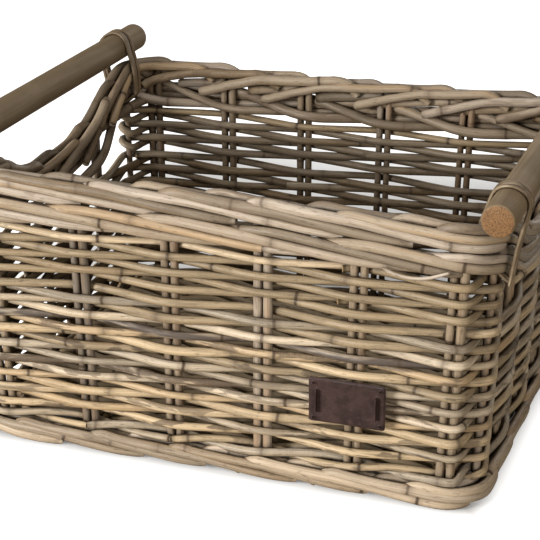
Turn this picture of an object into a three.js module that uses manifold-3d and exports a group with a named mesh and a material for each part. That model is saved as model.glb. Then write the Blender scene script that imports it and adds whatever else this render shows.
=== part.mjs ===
// Rectangular woven rattan carrier basket with a wooden pole lashed above each end wall.
// Millimetres, +Z up. The origin is the middle of the footprint, on the surface that it stands on.
// The front wall faces -Y and carries the leather tag. The poles run along Y.

import * as THREE from 'three';
import { mergeVertices } from 'three/addons/utils/BufferGeometryUtils.js';
import Module from 'manifold-3d';

const wasm = await Module();
wasm.setup();

// Driving dimensions: the basket as a whole
const rimWidth = 400;
const rimDepth = 336;
const rimHeight = 214;
const footInsetX = 9.6;
const footInsetY = 12;
const longWallBow = 8;
const handDip = 36;

// Driving dimensions: the rods
const weaverDiameter = 5.6;
const stakeDiameter = 5.8;
const stakePairSpacing = 7;
const borderRodDiameter = 6.6;
const baseWeaverDiameter = 6.4;
const clearance = 0.3;

// Driving dimensions: the layout of stakes and rows
const longWallPairs = 6;
const cornerPairInset = 27.5;
const cornerRodInset = 31;
const tightestRowGap = 0.3;
const basePairs = 6;
const baseEdgeInset = 45;
const baseRowPitch = 9;

// Driving dimensions: the twisted borders at rim and foot
const borderStrands = 4;
const borderTwists = 5;
const borderSamplesPerTwist = 14;
const borderCornerRadius = 25;
const footFlat = 1.2;
const footFlare = 5;
const bandGap = 0.4;
const rimWales = 2;

// Driving dimensions: the poles and their lashings
const poleDiameter = 25;
const poleOverhang = 16;
const poleOutset = 8;
const poleEdgeRound = 1.5;
const caneDiameter = 3;
const lashingTurns = 3;
const lashingInset = 16;

// Driving dimensions: the leather tag
const tagWidth = 54;
const tagHeight = 33;
const tagThickness = 2.4;
const tagCornerRadius = 3;
const tagSlitHeight = 17;
const tagSlitWidth = 1.2;
const tagSlitInset = 6;
const tagCentreX = 98;
const tagCentreZ = 74;

// Radii and reaches that follow from the driving dimensions
const weaverRadius = weaverDiameter / 2;
const stakeRadius = stakeDiameter / 2;
const borderRodRadius = borderRodDiameter / 2;
const caneRadius = caneDiameter / 2;
const pegRadius = stakeRadius + weaverRadius + clearance;
const longStakePitch = (rimWidth - 2 * cornerPairInset) / (longWallPairs - 1);
const sideStakePitch = (rimDepth / 2 - cornerRodInset) / 2;
const cornerStakeY = 2 * sideStakePitch;
const shortestPitch = Math.min(longStakePitch, sideStakePitch);
const weaveReach = pegRadius / (1 - stakePairSpacing / shortestPitch) + clearance / 3;
const wallHalf = weaveReach + weaverRadius;
const sampleCos = Math.cos(Math.PI / borderSamplesPerTwist);
const strandSpacing = 2 * Math.sin(Math.PI / borderStrands);
const ropeLay = (borderRodDiameter + clearance) / (strandSpacing * sampleCos * sampleCos);
const ropeRadius = ropeLay + borderRodRadius;
const crossLift = weaverRadius + 2 * clearance;
const waleHalf = crossLift + weaverRadius;

// Heights that stack up from the floor
const footAxisZ = ropeRadius - footFlat;
const footWaleZ = footAxisZ + ropeRadius + bandGap + waleHalf;
const firstRowZ = footWaleZ + waleHalf + clearance + weaverRadius;
const rimWaleDrop = 2 * ropeRadius + bandGap + waleHalf;
const rimWaleStep = 2 * waleHalf + clearance;
const rimBandDrop = rimWaleDrop + (rimWales - 1) * rimWaleStep + waleHalf;

// The wall weavers fill the height up to the wale under the dips, and end half a turn apart.
// The rows above them fill the height that is left on the long walls.
const wallRoom = rimHeight - handDip - rimBandDrop - clearance - weaverRadius - firstRowZ;
const tightestRowPitch = weaverDiameter + tightestRowGap;
const wallTurns = Math.floor(wallRoom / (2 * tightestRowPitch) - 0.5) + 0.5;
const rowPitch = wallRoom / (2 * wallTurns);
const lastTurnZ = firstRowZ + 2 * rowPitch * wallTurns;
const upperRoom = rimHeight - rimBandDrop - weaverRadius - lastTurnZ;
const upperRows = Math.floor(upperRoom / rowPitch);

const material = (name, color, roughness) =>
  new THREE.MeshStandardMaterial({ name, color, roughness, metalness: 0 });
const weaverMaterial = material('grey_rattan', 0xb8a684, 0.6);
const stakeMaterial = material('pale_rattan', 0xc4b39a, 0.62);
const borderMaterial = material('border_rattan', 0xbfae90, 0.6);
const baseMaterial = material('base_rattan', 0x93805f, 0.7);
const poleMaterial = material('grey_brown_wood', 0x75664d, 0.68);
const caneMaterial = material('split_cane', 0x9a8666, 0.55);
const leatherMaterial = material('dark_leather', 0x4b3733, 0.5);

const basket = new THREE.Group();
basket.name = 'basket';

function addPiece(name, geometry, pieceMaterial) {
  const mesh = new THREE.Mesh(geometry, pieceMaterial);
  mesh.name = name;
  basket.add(mesh);
  return mesh;
}

// A rod of even thickness along a run of points, mitred at each bend and capped at its ends.
// The section has a corner on the reference direction, so flat runs show an edge up and down.
function rodGeometry(points, radius, sides, reference, closed = false) {
  const count = points.length;
  const positions = [];
  const indices = [];
  for (let i = 0; i < count; i += 1) {
    const here = points[i];
    const before = points[closed ? (i + count - 1) % count : Math.max(i - 1, 0)];
    const after = points[closed ? (i + 1) % count : Math.min(i + 1, count - 1)];
    const incoming = here.clone().sub(before).normalize();
    const outgoing = after.clone().sub(here).normalize();
    if (incoming.lengthSq() === 0) incoming.copy(outgoing);
    if (outgoing.lengthSq() === 0) outgoing.copy(incoming);
    const along = incoming.clone().add(outgoing).normalize();
    const across = new THREE.Vector3().crossVectors(along, reference).normalize();
    const up = new THREE.Vector3().crossVectors(across, along);
    const bend = outgoing.clone().sub(incoming).normalize();
    const stretch = 1 / Math.max(along.dot(outgoing), 0.3) - 1;
    for (let k = 0; k < sides; k += 1) {
      const angle = Math.PI / 2 + (2 * Math.PI * k) / sides;
      const offset = across.clone().multiplyScalar(radius * Math.cos(angle));
      offset.addScaledVector(up, radius * Math.sin(angle));
      offset.addScaledVector(bend, offset.dot(bend) * stretch);
      offset.add(here);
      positions.push(offset.x, offset.y, offset.z);
    }
  }
  const spans = closed ? count : count - 1;
  for (let i = 0; i < spans; i += 1) {
    for (let k = 0; k < sides; k += 1) {
      const a = i * sides + k;
      const b = i * sides + ((k + 1) % sides);
      const c = ((i + 1) % count) * sides + k;
      const d = ((i + 1) % count) * sides + ((k + 1) % sides);
      indices.push(a, d, b, a, c, d);
    }
  }
  if (!closed) {
    const last = (count - 1) * sides;
    for (let k = 1; k < sides - 1; k += 1) {
      indices.push(0, k, k + 1);
      indices.push(last, last + k + 1, last + k);
    }
  }
  const geometry = new THREE.BufferGeometry();
  geometry.setAttribute('position', new THREE.Float32BufferAttribute(positions, 3));
  geometry.setIndex(indices);
  geometry.computeVertexNormals();
  return geometry;
}

// Walls lean out from the foot to the rim, and the long ones bow in towards the middle of the rim.
const lean = (z) => z / rimHeight;
const halfX = (z) => rimWidth / 2 - wallHalf - footInsetX * (1 - lean(z));
const halfY = (z) => rimDepth / 2 - wallHalf - footInsetY * (1 - lean(z));
const spreadX = (z) => halfX(z) / halfX(rimHeight);
const spreadY = (z) => halfY(z) / halfY(rimHeight);
const bowAt = (x, z) => longWallBow * lean(z) * (1 - (x / halfX(z)) ** 2);

// Stakes in order round the basket, from the front left corner towards +X.
// Each has a place along its wall, measured at the rim, and the direction that its wall faces.
function makeStations() {
  const middle = (longWallPairs - 1) / 2;
  const longPlaces = Array.from({ length: longWallPairs }, (_, i) => (i - middle) * longStakePitch);
  const sidePlaces = [-cornerStakeY, -sideStakePitch, 0, sideStakePitch, cornerStakeY];
  const stations = [];
  const addWall = (wall, places, single) => {
    for (const place of places) {
      stations.push({ wall, place, single: single(place) });
    }
  };
  const never = () => false;
  const atCorner = (place) => Math.abs(place) === cornerStakeY;
  addWall('front', longPlaces, never);
  addWall('right', sidePlaces, atCorner);
  addWall('back', [...longPlaces].reverse(), never);
  addWall('left', [...sidePlaces].reverse(), atCorner);
  const outermost = Math.max(...longPlaces);
  for (const station of stations) {
    const onLongWall = station.wall === 'front' || station.wall === 'back';
    station.besideCorner = onLongWall && Math.abs(station.place) === outermost;
  }
  return stations;
}
const stations = makeStations();
const wallDirections = {
  front: { out: new THREE.Vector3(0, -1, 0), onward: new THREE.Vector3(1, 0, 0) },
  right: { out: new THREE.Vector3(1, 0, 0), onward: new THREE.Vector3(0, 1, 0) },
  back: { out: new THREE.Vector3(0, 1, 0), onward: new THREE.Vector3(-1, 0, 0) },
  left: { out: new THREE.Vector3(-1, 0, 0), onward: new THREE.Vector3(0, -1, 0) },
};

// The point of a stake at height z, moved along its wall and out of it.
function stakePoint(station, z, along = 0, out = 0) {
  const directions = wallDirections[station.wall];
  const point = new THREE.Vector3();
  if (station.wall === 'front' || station.wall === 'back') {
    const x = station.place * spreadX(z);
    point.set(x, 0, z);
    point.addScaledVector(directions.out, halfY(z) - bowAt(x, z));
  } else {
    point.set(0, station.place * spreadY(z), z);
    point.addScaledVector(directions.out, halfX(z));
  }
  point.addScaledVector(directions.onward, along);
  point.addScaledVector(directions.out, out);
  return point;
}

// The rim is level along the long walls and dips over the middle of each end wall for the hand.
// Each stop is a distance from the middle, and its share is how much of the dip is left there.
const dipStops = [0, sideStakePitch / 2, sideStakePitch, (sideStakePitch + cornerStakeY) / 2, cornerStakeY];
const dipShares = [1, 1, 0.75, 0.3, 0];
function rimTop(point) {
  const away = Math.abs(point.y) / spreadY(rimHeight);
  if (away >= cornerStakeY || Math.abs(point.x) < halfX(0) - borderCornerRadius) return rimHeight;
  let stop = 0;
  while (away > dipStops[stop + 1]) stop += 1;
  const share = (away - dipStops[stop]) / (dipStops[stop + 1] - dipStops[stop]);
  return rimHeight - handDip * THREE.MathUtils.lerp(dipShares[stop], dipShares[stop + 1], share);
}

// A weaver drawn tight round the stakes. Each stake is a peg that the weaver passes on one side:
// side +1 is outside the wall and -1 inside. A peg of radius 0 is a point that it passes through.
function drawTight(pegs, closed) {
  const count = pegs.length;
  const heading = (from, to) => {
    const dx = to.centre.x - from.centre.x;
    const dy = to.centre.y - from.centre.y;
    const turn = (from.side * from.radius - to.side * to.radius) / Math.hypot(dx, dy);
    return Math.atan2(dy, dx) + Math.asin(turn);
  };
  const vertices = [];
  for (let i = 0; i < count; i += 1) {
    const peg = pegs[i];
    const next = closed ? pegs[(i + 1) % count] : pegs[i + 1];
    const before = closed ? pegs[(i + count - 1) % count] : pegs[i - 1];
    const leaving = next ? heading(peg, next) : heading(before, peg);
    const arriving = before ? heading(before, peg) : leaving;
    let swing = Math.atan2(Math.sin(leaving - arriving), Math.cos(leaving - arriving));
    if (swing * peg.side < -Math.PI / 2) swing += 2 * Math.PI * peg.side;
    for (let j = 0; j < peg.steps; j += 1) {
      const angle = arriving + ((j + 0.5) * swing) / peg.steps;
      const reach = (peg.side * peg.radius) / Math.cos(swing / (2 * peg.steps));
      const x = peg.centre.x + reach * Math.sin(angle);
      const y = peg.centre.y - reach * Math.cos(angle);
      vertices.push({ x, y, station: peg.station });
    }
  }
  return vertices;
}

// The pegs of one station for a weaver passing on the given side at height z.
function stationPegs(index, side, z) {
  const station = stations[index];
  const peg = (centre, radius, steps) => ({ centre, radius, steps, side, station: index });
  const cornerSteps = side > 0 ? 2 : 1;
  if (station.single) return [peg(stakePoint(station, z), pegRadius, cornerSteps)];
  if (!station.besideCorner) return [peg(stakePoint(station, z, 0, side * weaveReach), 0, 1)];
  const cornerAhead = stations[(index + 1) % stations.length].single;
  const first = peg(stakePoint(station, z, -stakePairSpacing / 2), pegRadius, cornerAhead ? 1 : cornerSteps);
  const second = peg(stakePoint(station, z, stakePairSpacing / 2), pegRadius, cornerAhead ? cornerSteps : 1);
  return [first, second];
}

// One full turn of weaving at height z, as plan points that each know their share of the turn.
function turnOfWeaving(phase, z) {
  const pegs = stations.flatMap((station, index) =>
    stationPegs(index, (index + phase) % 2 === 0 ? 1 : -1, z));
  const vertices = drawTight(pegs, true);
  let length = 0;
  vertices.forEach((vertex, i) => {
    const previous = vertices[Math.max(i - 1, 0)];
    length += Math.hypot(vertex.x - previous.x, vertex.y - previous.y);
    vertex.run = length;
  });
  const closing = Math.hypot(vertices[0].x - vertices.at(-1).x, vertices[0].y - vertices.at(-1).y);
  for (const vertex of vertices) vertex.share = vertex.run / (length + closing);
  return vertices;
}

// Two weavers chase each other up the walls, starting half a turn apart on the foot wale.
function chasingWeaver(phase, startShare) {
  const climb = 2 * rowPitch;
  const reference = turnOfWeaving(phase, firstRowZ);
  const points = [];
  for (let turn = 0; turn <= wallTurns + 1; turn += 1) {
    for (let k = 0; k < reference.length; k += 1) {
      const progress = turn + reference[k].share - startShare;
      if (progress < 0 || progress > wallTurns) continue;
      const z = firstRowZ + climb * progress;
      const vertex = turnOfWeaving(phase, z)[k];
      points.push(new THREE.Vector3(vertex.x, vertex.y, z));
    }
  }
  return rodGeometry(points, weaverRadius, 4, new THREE.Vector3(0, 0, 1));
}
addPiece('wall_weaver_1', chasingWeaver(0, 0), weaverMaterial);
addPiece('wall_weaver_2', chasingWeaver(1, 0.5), weaverMaterial);

// Above the chasing weave one weaver goes to and fro across each long wall. It turns back round
// the stake beside the dip while the rim there leaves room, and round the corner stake above.
function toAndFroWeaver(firstIndex) {
  const total = stations.length;
  const wrap = (index) => (index + total) % total;
  const points = [];
  const rowZ = (row) => lastTurnZ + (row + 1) * rowPitch;
  const bandBottom = (index) => rimTop(stakePoint(stations[index], rimHeight)) - rimBandDrop;
  const reachOf = (row) => {
    const sideStake = wrap(firstIndex - 1);
    return bandBottom(sideStake) > rowZ(row) + weaverRadius ? 1 : 0;
  };
  const longCount = longWallPairs + 2;
  for (let row = 0; row < upperRows; row += 1) {
    const forward = row % 2 === 0;
    const startReach = reachOf(row);
    const endReach = reachOf(Math.min(row + 1, upperRows - 1));
    const leftReach = forward ? startReach : endReach;
    const rightReach = forward ? endReach : startReach;
    const leftEnd = firstIndex - leftReach;
    const rightEnd = firstIndex + longCount - 1 + rightReach;
    const z = rowZ(row);
    const pegs = [];
    for (let index = leftEnd; index <= rightEnd; index += 1) {
      const side = (index + row) % 2 === 0 ? 1 : -1;
      pegs.push(...stationPegs(wrap(index), side, z));
    }
    const turnVertex = (index, facing, share) => {
      const station = stations[wrap(index)];
      const side = (index + row) % 2 === 0 ? 1 : -1;
      const half = station.single ? 0 : stakePairSpacing / 2;
      const reach = pegRadius / Math.cos(Math.PI / 6);
      const angle = share * Math.PI;
      const along = facing * (half + reach * Math.sin(angle));
      return stakePoint(station, z, along, side * reach * Math.cos(angle));
    };
    const left = turnVertex(leftEnd, -1, 1 / 6);
    const right = turnVertex(rightEnd, 1, 1 / 6);
    const asPeg = (centre) => ({ centre, radius: 0, steps: 1, side: 1 });
    const vertices = drawTight([asPeg(left), ...pegs, asPeg(right)], false);
    const run = vertices.map((vertex) => new THREE.Vector3(vertex.x, vertex.y, z));
    if (!forward) run.reverse();
    points.push(...run);
    if (row < upperRows - 1) {
      const tip = forward ? turnVertex(rightEnd, 1, 1 / 2) : turnVertex(leftEnd, -1, 1 / 2);
      tip.z = z + rowPitch / 2;
      points.push(tip);
    }
  }
  return rodGeometry(points, weaverRadius, 4, new THREE.Vector3(0, 0, 1));
}
addPiece('front_upper_weaver', toAndFroWeaver(-1), weaverMaterial);
addPiece('back_upper_weaver', toAndFroWeaver(stations.length / 2 - 1), weaverMaterial);

// A wale is two rods twisted round the stakes, crossing once in each space between them.
function waleRod(phase, heightAt) {
  const plan = turnOfWeaving(phase, rimHeight);
  const vertices = plan.map((place, i) => {
    const z = heightAt(place);
    const { x, y } = turnOfWeaving(phase, z)[i];
    return new THREE.Vector3(x, y, z);
  });
  const points = [];
  for (let i = 0; i < vertices.length; i += 1) {
    const next = (i + 1) % vertices.length;
    points.push(vertices[i]);
    if (plan[next].station !== plan[i].station) {
      const side = (plan[i].station + phase) % 2 === 0 ? 1 : -1;
      const middle = vertices[i].clone().lerp(vertices[next], 0.5);
      middle.z = heightAt(middle) + side * crossLift;
      points.push(middle);
    }
  }
  return rodGeometry(points, weaverRadius, 4, new THREE.Vector3(0, 0, 1), true);
}
const footWaleHeight = () => footWaleZ;
for (const phase of [0, 1]) {
  addPiece(`foot_wale_rod_${phase + 1}`, waleRod(phase, footWaleHeight), weaverMaterial);
  for (let wale = 0; wale < rimWales; wale += 1) {
    const height = (place) => rimTop(place) - rimWaleDrop - wale * rimWaleStep;
    addPiece(`rim_wale_rod_${2 * wale + phase + 1}`, waleRod(phase, height), weaverMaterial);
  }
}

// The border path: a rounded rectangle in plan, from the middle of the front wall towards +X.
function borderPlace(share, z, flare) {
  const x = halfX(z) + flare;
  const y = halfY(z) + flare;
  const r = borderCornerRadius;
  const corners = [[1, -1], [1, 1], [-1, 1], [-1, -1]];
  const shape = new THREE.Shape();
  shape.moveTo(0, -y);
  shape.lineTo((x - r) / 2, -y);
  corners.forEach(([sx, sy], i) => {
    const start = -Math.PI / 2 + (i * Math.PI) / 2;
    shape.absarc(sx * (x - r), sy * (y - r), r, start, start + Math.PI / 2);
  });
  shape.lineTo(0, -y);
  const plan = shape.getPointAt(share % 1);
  if (Math.abs(plan.y) > y - r) plan.y -= Math.sign(plan.y) * bowAt(plan.x, z);
  return plan;
}

// One of the rods that are twisted into a rope along the border path.
function borderRod(strand, planHeight, flare, axisHeight) {
  const count = borderTwists * borderSamplesPerTwist;
  const axis = [];
  for (let i = 0; i < count; i += 1) {
    const plan = borderPlace(i / count, planHeight, flare);
    axis.push(new THREE.Vector3(plan.x, plan.y, axisHeight(plan)));
  }
  const points = axis.map((centre, i) => {
    const tangent = axis[(i + 1) % count].clone().sub(axis[(i + count - 1) % count]).normalize();
    const outward = new THREE.Vector3(tangent.y, -tangent.x, 0).normalize();
    const above = new THREE.Vector3().crossVectors(outward, tangent);
    const angle = 2 * Math.PI * (i / borderSamplesPerTwist + strand / borderStrands);
    const point = centre.clone();
    point.addScaledVector(outward, ropeLay * Math.cos(angle));
    point.addScaledVector(above, ropeLay * Math.sin(angle));
    return point;
  });
  return rodGeometry(points, borderRodRadius, 4, new THREE.Vector3(0, 0, 1), true);
}

function toManifold(geometry) {
  const bare = geometry.clone();
  bare.deleteAttribute('normal');
  bare.deleteAttribute('uv');
  const merged = mergeVertices(bare, 1e-4);
  const vertProperties = new Float32Array(merged.attributes.position.array);
  const triVerts = new Uint32Array(merged.index.array);
  return new wasm.Manifold(new wasm.Mesh({ numProp: 3, vertProperties, triVerts }));
}

function fromManifold(solid) {
  const mesh = solid.getMesh();
  const geometry = new THREE.BufferGeometry();
  geometry.setAttribute('position', new THREE.BufferAttribute(new Float32Array(mesh.vertProperties), 3));
  geometry.setIndex(new THREE.BufferAttribute(new Uint32Array(mesh.triVerts), 1));
  geometry.computeVertexNormals();
  return geometry;
}

// The foot border stands on flats, worn level where its rods touch the floor.
function standOnFloor(geometry) {
  const slabDepth = 2 * footFlat;
  const slab = new THREE.BoxGeometry(rimWidth, rimDepth, slabDepth);
  slab.translate(0, 0, -slabDepth / 2);
  return fromManifold(toManifold(geometry).subtract(toManifold(slab)));
}
const rimRods = [];
for (let strand = 0; strand < borderStrands; strand += 1) {
  const foot = borderRod(strand, 0, footFlare, () => footAxisZ);
  addPiece(`foot_border_rod_${strand + 1}`, standOnFloor(foot), borderMaterial);
  rimRods.push(borderRod(strand, rimHeight, 0, (plan) => rimTop(plan) - ropeRadius));
  addPiece(`rim_border_rod_${strand + 1}`, rimRods[strand], borderMaterial);
}

// Each stake pair is one rod bent double at the foot. The corner stakes are single rods.
const stakeFootZ = footAxisZ + ropeRadius + clearance + stakeRadius;
const dipMargin = 5;
function stakeTopZ(station) {
  const halfWidth = stakeRadius + (station.single ? dipMargin : stakePairSpacing / 2);
  const edges = [-halfWidth, halfWidth].map((along) => rimTop(stakePoint(station, rimHeight, along)));
  return Math.min(...edges) - 2 * ropeRadius - clearance;
}
function stakeGeometry(station) {
  const top = stakeTopZ(station);
  const out = wallDirections[station.wall].out;
  if (station.single) {
    const ends = [stakePoint(station, stakeFootZ - stakeRadius), stakePoint(station, top)];
    return rodGeometry(ends, stakeRadius, 6, out);
  }
  const half = stakePairSpacing / 2;
  const bendSteps = 4;
  const points = [stakePoint(station, top, -half)];
  for (let i = 0; i <= bendSteps; i += 1) {
    const angle = (Math.PI * i) / bendSteps;
    const z = stakeFootZ + half - half * Math.sin(angle);
    points.push(stakePoint(station, z, -half * Math.cos(angle)));
  }
  points.push(stakePoint(station, top, half));
  return rodGeometry(points, stakeRadius, 5, out);
}
const wallCounts = {};
for (const station of stations) {
  const kind = station.single ? 'corner' : station.wall;
  wallCounts[kind] = (wallCounts[kind] ?? 0) + 1;
  addPiece(`${kind}_stake_${wallCounts[kind]}`, stakeGeometry(station), stakeMaterial);
}

// The base: doubled rods from front to back with one weaver going to and fro across them.
const baseZ = footWaleZ;
const baseRodReach = halfY(baseZ) - bowAt(0, baseZ) - wallHalf - clearance;
const baseWeaverRadius = baseWeaverDiameter / 2;
const basePegRadius = stakeRadius + baseWeaverRadius + clearance;
const basePairPitch = (rimWidth - 2 * baseEdgeInset) / (basePairs - 1);
const baseReach = basePegRadius / (1 - stakePairSpacing / basePairPitch) + clearance / 3;
const basePairX = (index) => (index - (basePairs - 1) / 2) * basePairPitch;
function baseRodGeometry(x) {
  const half = stakePairSpacing / 2;
  const bendSteps = 4;
  const bendY = baseRodReach - half - stakeRadius;
  const points = [new THREE.Vector3(x - half, -baseRodReach, baseZ)];
  for (let i = 0; i <= bendSteps; i += 1) {
    const angle = (Math.PI * i) / bendSteps;
    points.push(new THREE.Vector3(x - half * Math.cos(angle), bendY + half * Math.sin(angle), baseZ));
  }
  points.push(new THREE.Vector3(x + half, -baseRodReach, baseZ));
  return rodGeometry(points, stakeRadius, 5, new THREE.Vector3(0, 0, 1));
}
for (let index = 0; index < basePairs; index += 1) {
  addPiece(`base_rod_${index + 1}`, baseRodGeometry(basePairX(index)), baseMaterial);
}
function baseWeaverGeometry() {
  const limit = baseRodReach - baseWeaverRadius;
  const rows = Math.floor((2 * limit) / baseRowPitch) + 1;
  const outerRodX = basePairX(basePairs - 1) + stakePairSpacing / 2;
  const turnReach = basePegRadius / Math.cos(Math.PI / 6);
  const points = [];
  for (let row = 0; row < rows; row += 1) {
    const y = (row - (rows - 1) / 2) * baseRowPitch;
    const facing = row % 2 === 0 ? 1 : -1;
    const sideOf = (index) => ((index + row) % 2 === 0 ? 1 : -1);
    const endPoint = (direction) => {
      const index = direction > 0 ? basePairs - 1 : 0;
      const x = direction * (outerRodX + turnReach / 2);
      return new THREE.Vector3(x, y, baseZ + sideOf(index) * basePegRadius);
    };
    if (row > 0) points.push(endPoint(-facing));
    for (let step = 0; step < basePairs; step += 1) {
      const index = facing > 0 ? step : basePairs - 1 - step;
      points.push(new THREE.Vector3(basePairX(index), y, baseZ + sideOf(index) * baseReach));
    }
    if (row < rows - 1) {
      points.push(endPoint(facing));
      points.push(new THREE.Vector3(facing * (outerRodX + turnReach), y + baseRowPitch / 2, baseZ));
    }
  }
  return rodGeometry(points, baseWeaverRadius, 4, new THREE.Vector3(0, 0, 1));
}
addPiece('base_weaver', baseWeaverGeometry(), baseMaterial);

// Each pole lies on the rim border above its end wall, as low as the border's rods let it.
const poleRadius = poleDiameter / 2;
const poleX = halfX(rimHeight) + poleOutset;
const poleLength = rimDepth + 2 * poleOverhang;
const lashingY = cornerStakeY - lashingInset;
function poleSeatZ(side) {
  const reach = poleRadius + clearance;
  let seat = 0;
  for (const rod of rimRods) {
    const places = rod.attributes.position;
    for (let i = 0; i < places.count; i += 1) {
      const aside = places.getX(i) - side * poleX;
      if (Math.abs(aside) < reach) seat = Math.max(seat, places.getZ(i) + Math.sqrt(reach ** 2 - aside ** 2));
    }
  }
  return seat;
}
function poleGeometry() {
  const half = poleLength / 2;
  const profile = [
    new THREE.Vector2(0, -half),
    new THREE.Vector2(poleRadius - poleEdgeRound, -half),
    new THREE.Vector2(poleRadius, -half + poleEdgeRound),
    new THREE.Vector2(poleRadius, half - poleEdgeRound),
    new THREE.Vector2(poleRadius - poleEdgeRound, half),
    new THREE.Vector2(0, half),
  ];
  return new THREE.LatheGeometry(profile, 24);
}
for (const side of [-1, 1]) {
  const pole = addPiece(side < 0 ? 'pole_left' : 'pole_right', poleGeometry(), poleMaterial);
  pole.position.set(side * poleX, 0, poleSeatZ(side));
}

// Each lashing is one length of cane, wound over the pole and under the rim band.
function lashingGeometry(sideX, sideY) {
  const pitch = caneDiameter + clearance;
  const faceReach = wallHalf + clearance + caneRadius;
  const lowEdge = { x: poleX, y: lashingY - (lashingTurns * pitch) / 2 };
  const bandTopZ = rimHeight - ropeRadius;
  const bandBottomZ = rimTop(lowEdge) - rimBandDrop - 2 * clearance - caneRadius;
  const wallPeg = (z, reach) => ({ centre: { x: halfX(z) + reach, y: z }, radius: 0, side: -1, steps: 1 });
  const poleReach = poleRadius + clearance + caneRadius;
  const loop = drawTight([
    wallPeg(bandBottomZ, -faceReach),
    wallPeg(bandTopZ, -faceReach),
    { centre: { x: poleX, y: poleSeatZ(sideX) }, radius: poleReach, side: -1, steps: 5 },
    wallPeg(bandTopZ, faceReach),
    wallPeg(bandBottomZ, faceReach),
  ], true);
  const points = [];
  for (let i = 0; i < lashingTurns * loop.length; i += 1) {
    const place = loop[i % loop.length];
    const y = lashingY + pitch * (i / loop.length - lashingTurns / 2);
    points.push(new THREE.Vector3(sideX * place.x, sideY * y, place.y));
  }
  return rodGeometry(points, caneRadius, 4, new THREE.Vector3(0, 1, 0));
}
for (const sideY of [-1, 1]) {
  for (const sideX of [-1, 1]) {
    const name = `lashing_${sideY < 0 ? 'front' : 'back'}_${sideX < 0 ? 'left' : 'right'}`;
    addPiece(name, lashingGeometry(sideX, sideY), caneMaterial);
  }
}

// The leather tag lies against the outer face of the front wall, with a slit near each end.
function tagGeometry() {
  const x = tagWidth / 2 - tagCornerRadius;
  const y = tagHeight / 2 - tagCornerRadius;
  const cornerSteps = 3;
  const points = [];
  [[x, -y], [x, y], [-x, y], [-x, -y]].forEach(([cx, cy], corner) => {
    for (let i = 0; i <= cornerSteps; i += 1) {
      const angle = (Math.PI / 2) * (corner - 1 + i / cornerSteps);
      const px = cx + tagCornerRadius * Math.cos(angle);
      points.push(new THREE.Vector2(px, cy + tagCornerRadius * Math.sin(angle)));
    }
  });
  const plate = new THREE.ExtrudeGeometry(new THREE.Shape(points), {
    depth: tagThickness,
    bevelEnabled: false,
  });
  let solid = toManifold(plate);
  for (const side of [-1, 1]) {
    const slit = new THREE.BoxGeometry(tagSlitWidth, tagSlitHeight, 3 * tagThickness);
    slit.translate(side * (tagWidth / 2 - tagSlitInset), 0, 0);
    solid = solid.subtract(toManifold(slit));
  }
  return fromManifold(solid);
}
const tag = addPiece('leather_tag', tagGeometry(), leatherMaterial);
const wallLeanAngle = Math.atan2(footInsetY - longWallBow, rimHeight);
const tagBack = halfY(tagCentreZ) - bowAt(tagCentreX, tagCentreZ) + wallHalf + clearance;
tag.rotation.x = Math.PI / 2 + wallLeanAngle;
tag.position.set(tagCentreX, -tagBack, tagCentreZ);

export default basket;
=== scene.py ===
"""A rectangular woven rattan basket with a wooden pole lashed above each end wall.

Metres, +Z up, the front wall with the leather tag towards -Y. The rods follow the same stakes,
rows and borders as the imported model, drawn as round rattan with its knuckles, bark and cut ends.
"""
import logging
import math
import random
from dataclasses import dataclass, replace
from enum import Enum
from typing import Callable, Iterable, NamedTuple, Sequence, Union

import bpy
import numpy as np
from mathutils import Matrix, Vector


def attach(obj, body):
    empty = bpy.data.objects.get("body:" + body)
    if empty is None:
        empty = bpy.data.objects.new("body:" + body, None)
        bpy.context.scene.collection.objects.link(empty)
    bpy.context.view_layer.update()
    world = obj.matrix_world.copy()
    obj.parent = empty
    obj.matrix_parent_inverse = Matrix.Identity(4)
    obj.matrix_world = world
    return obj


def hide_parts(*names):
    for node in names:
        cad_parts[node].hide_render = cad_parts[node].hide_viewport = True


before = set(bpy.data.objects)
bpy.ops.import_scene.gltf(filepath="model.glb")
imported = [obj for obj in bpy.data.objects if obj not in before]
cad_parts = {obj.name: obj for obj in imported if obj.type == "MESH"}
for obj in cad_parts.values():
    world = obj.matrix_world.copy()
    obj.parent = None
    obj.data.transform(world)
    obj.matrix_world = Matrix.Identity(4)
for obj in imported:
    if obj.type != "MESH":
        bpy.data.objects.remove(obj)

log = logging.getLogger("basket")
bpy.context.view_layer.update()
UP = np.array([0.0, 0.0, 1.0])
# What the sides of an upright rod are lined up with, and the steepness from which a rod is upright.
UPRIGHT_GUIDE, STEEP = np.array([0.31, 0.95, 0.02]), 0.9
TAU = 2.0 * math.pi
# The angles at which a hairpin bend is drawn.
HAIRPIN = np.linspace(0.0, math.pi, 7)
# A rounded corner's reach, as a share of the run beside it, and the shares at which it is drawn.
EASE_LIMIT, EASE_SHARES = 0.49, (0.0, 0.2, 0.4, 0.6, 0.8, 1.0)
KNUCKLE_SPACING = 0.13
# Rods have tones from 0 to 1, and the one dark, weathered rod has this one.
WEATHERED = 1.6


class Side(Enum):
    """The side of a stake that a rod passes on."""

    OUTSIDE = 1
    INSIDE = -1

    @classmethod
    def of(cls, count: int) -> "Side":
        """Give the side for an even or odd count of stakes passed."""
        return cls.OUTSIDE if count % 2 == 0 else cls.INSIDE


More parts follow.
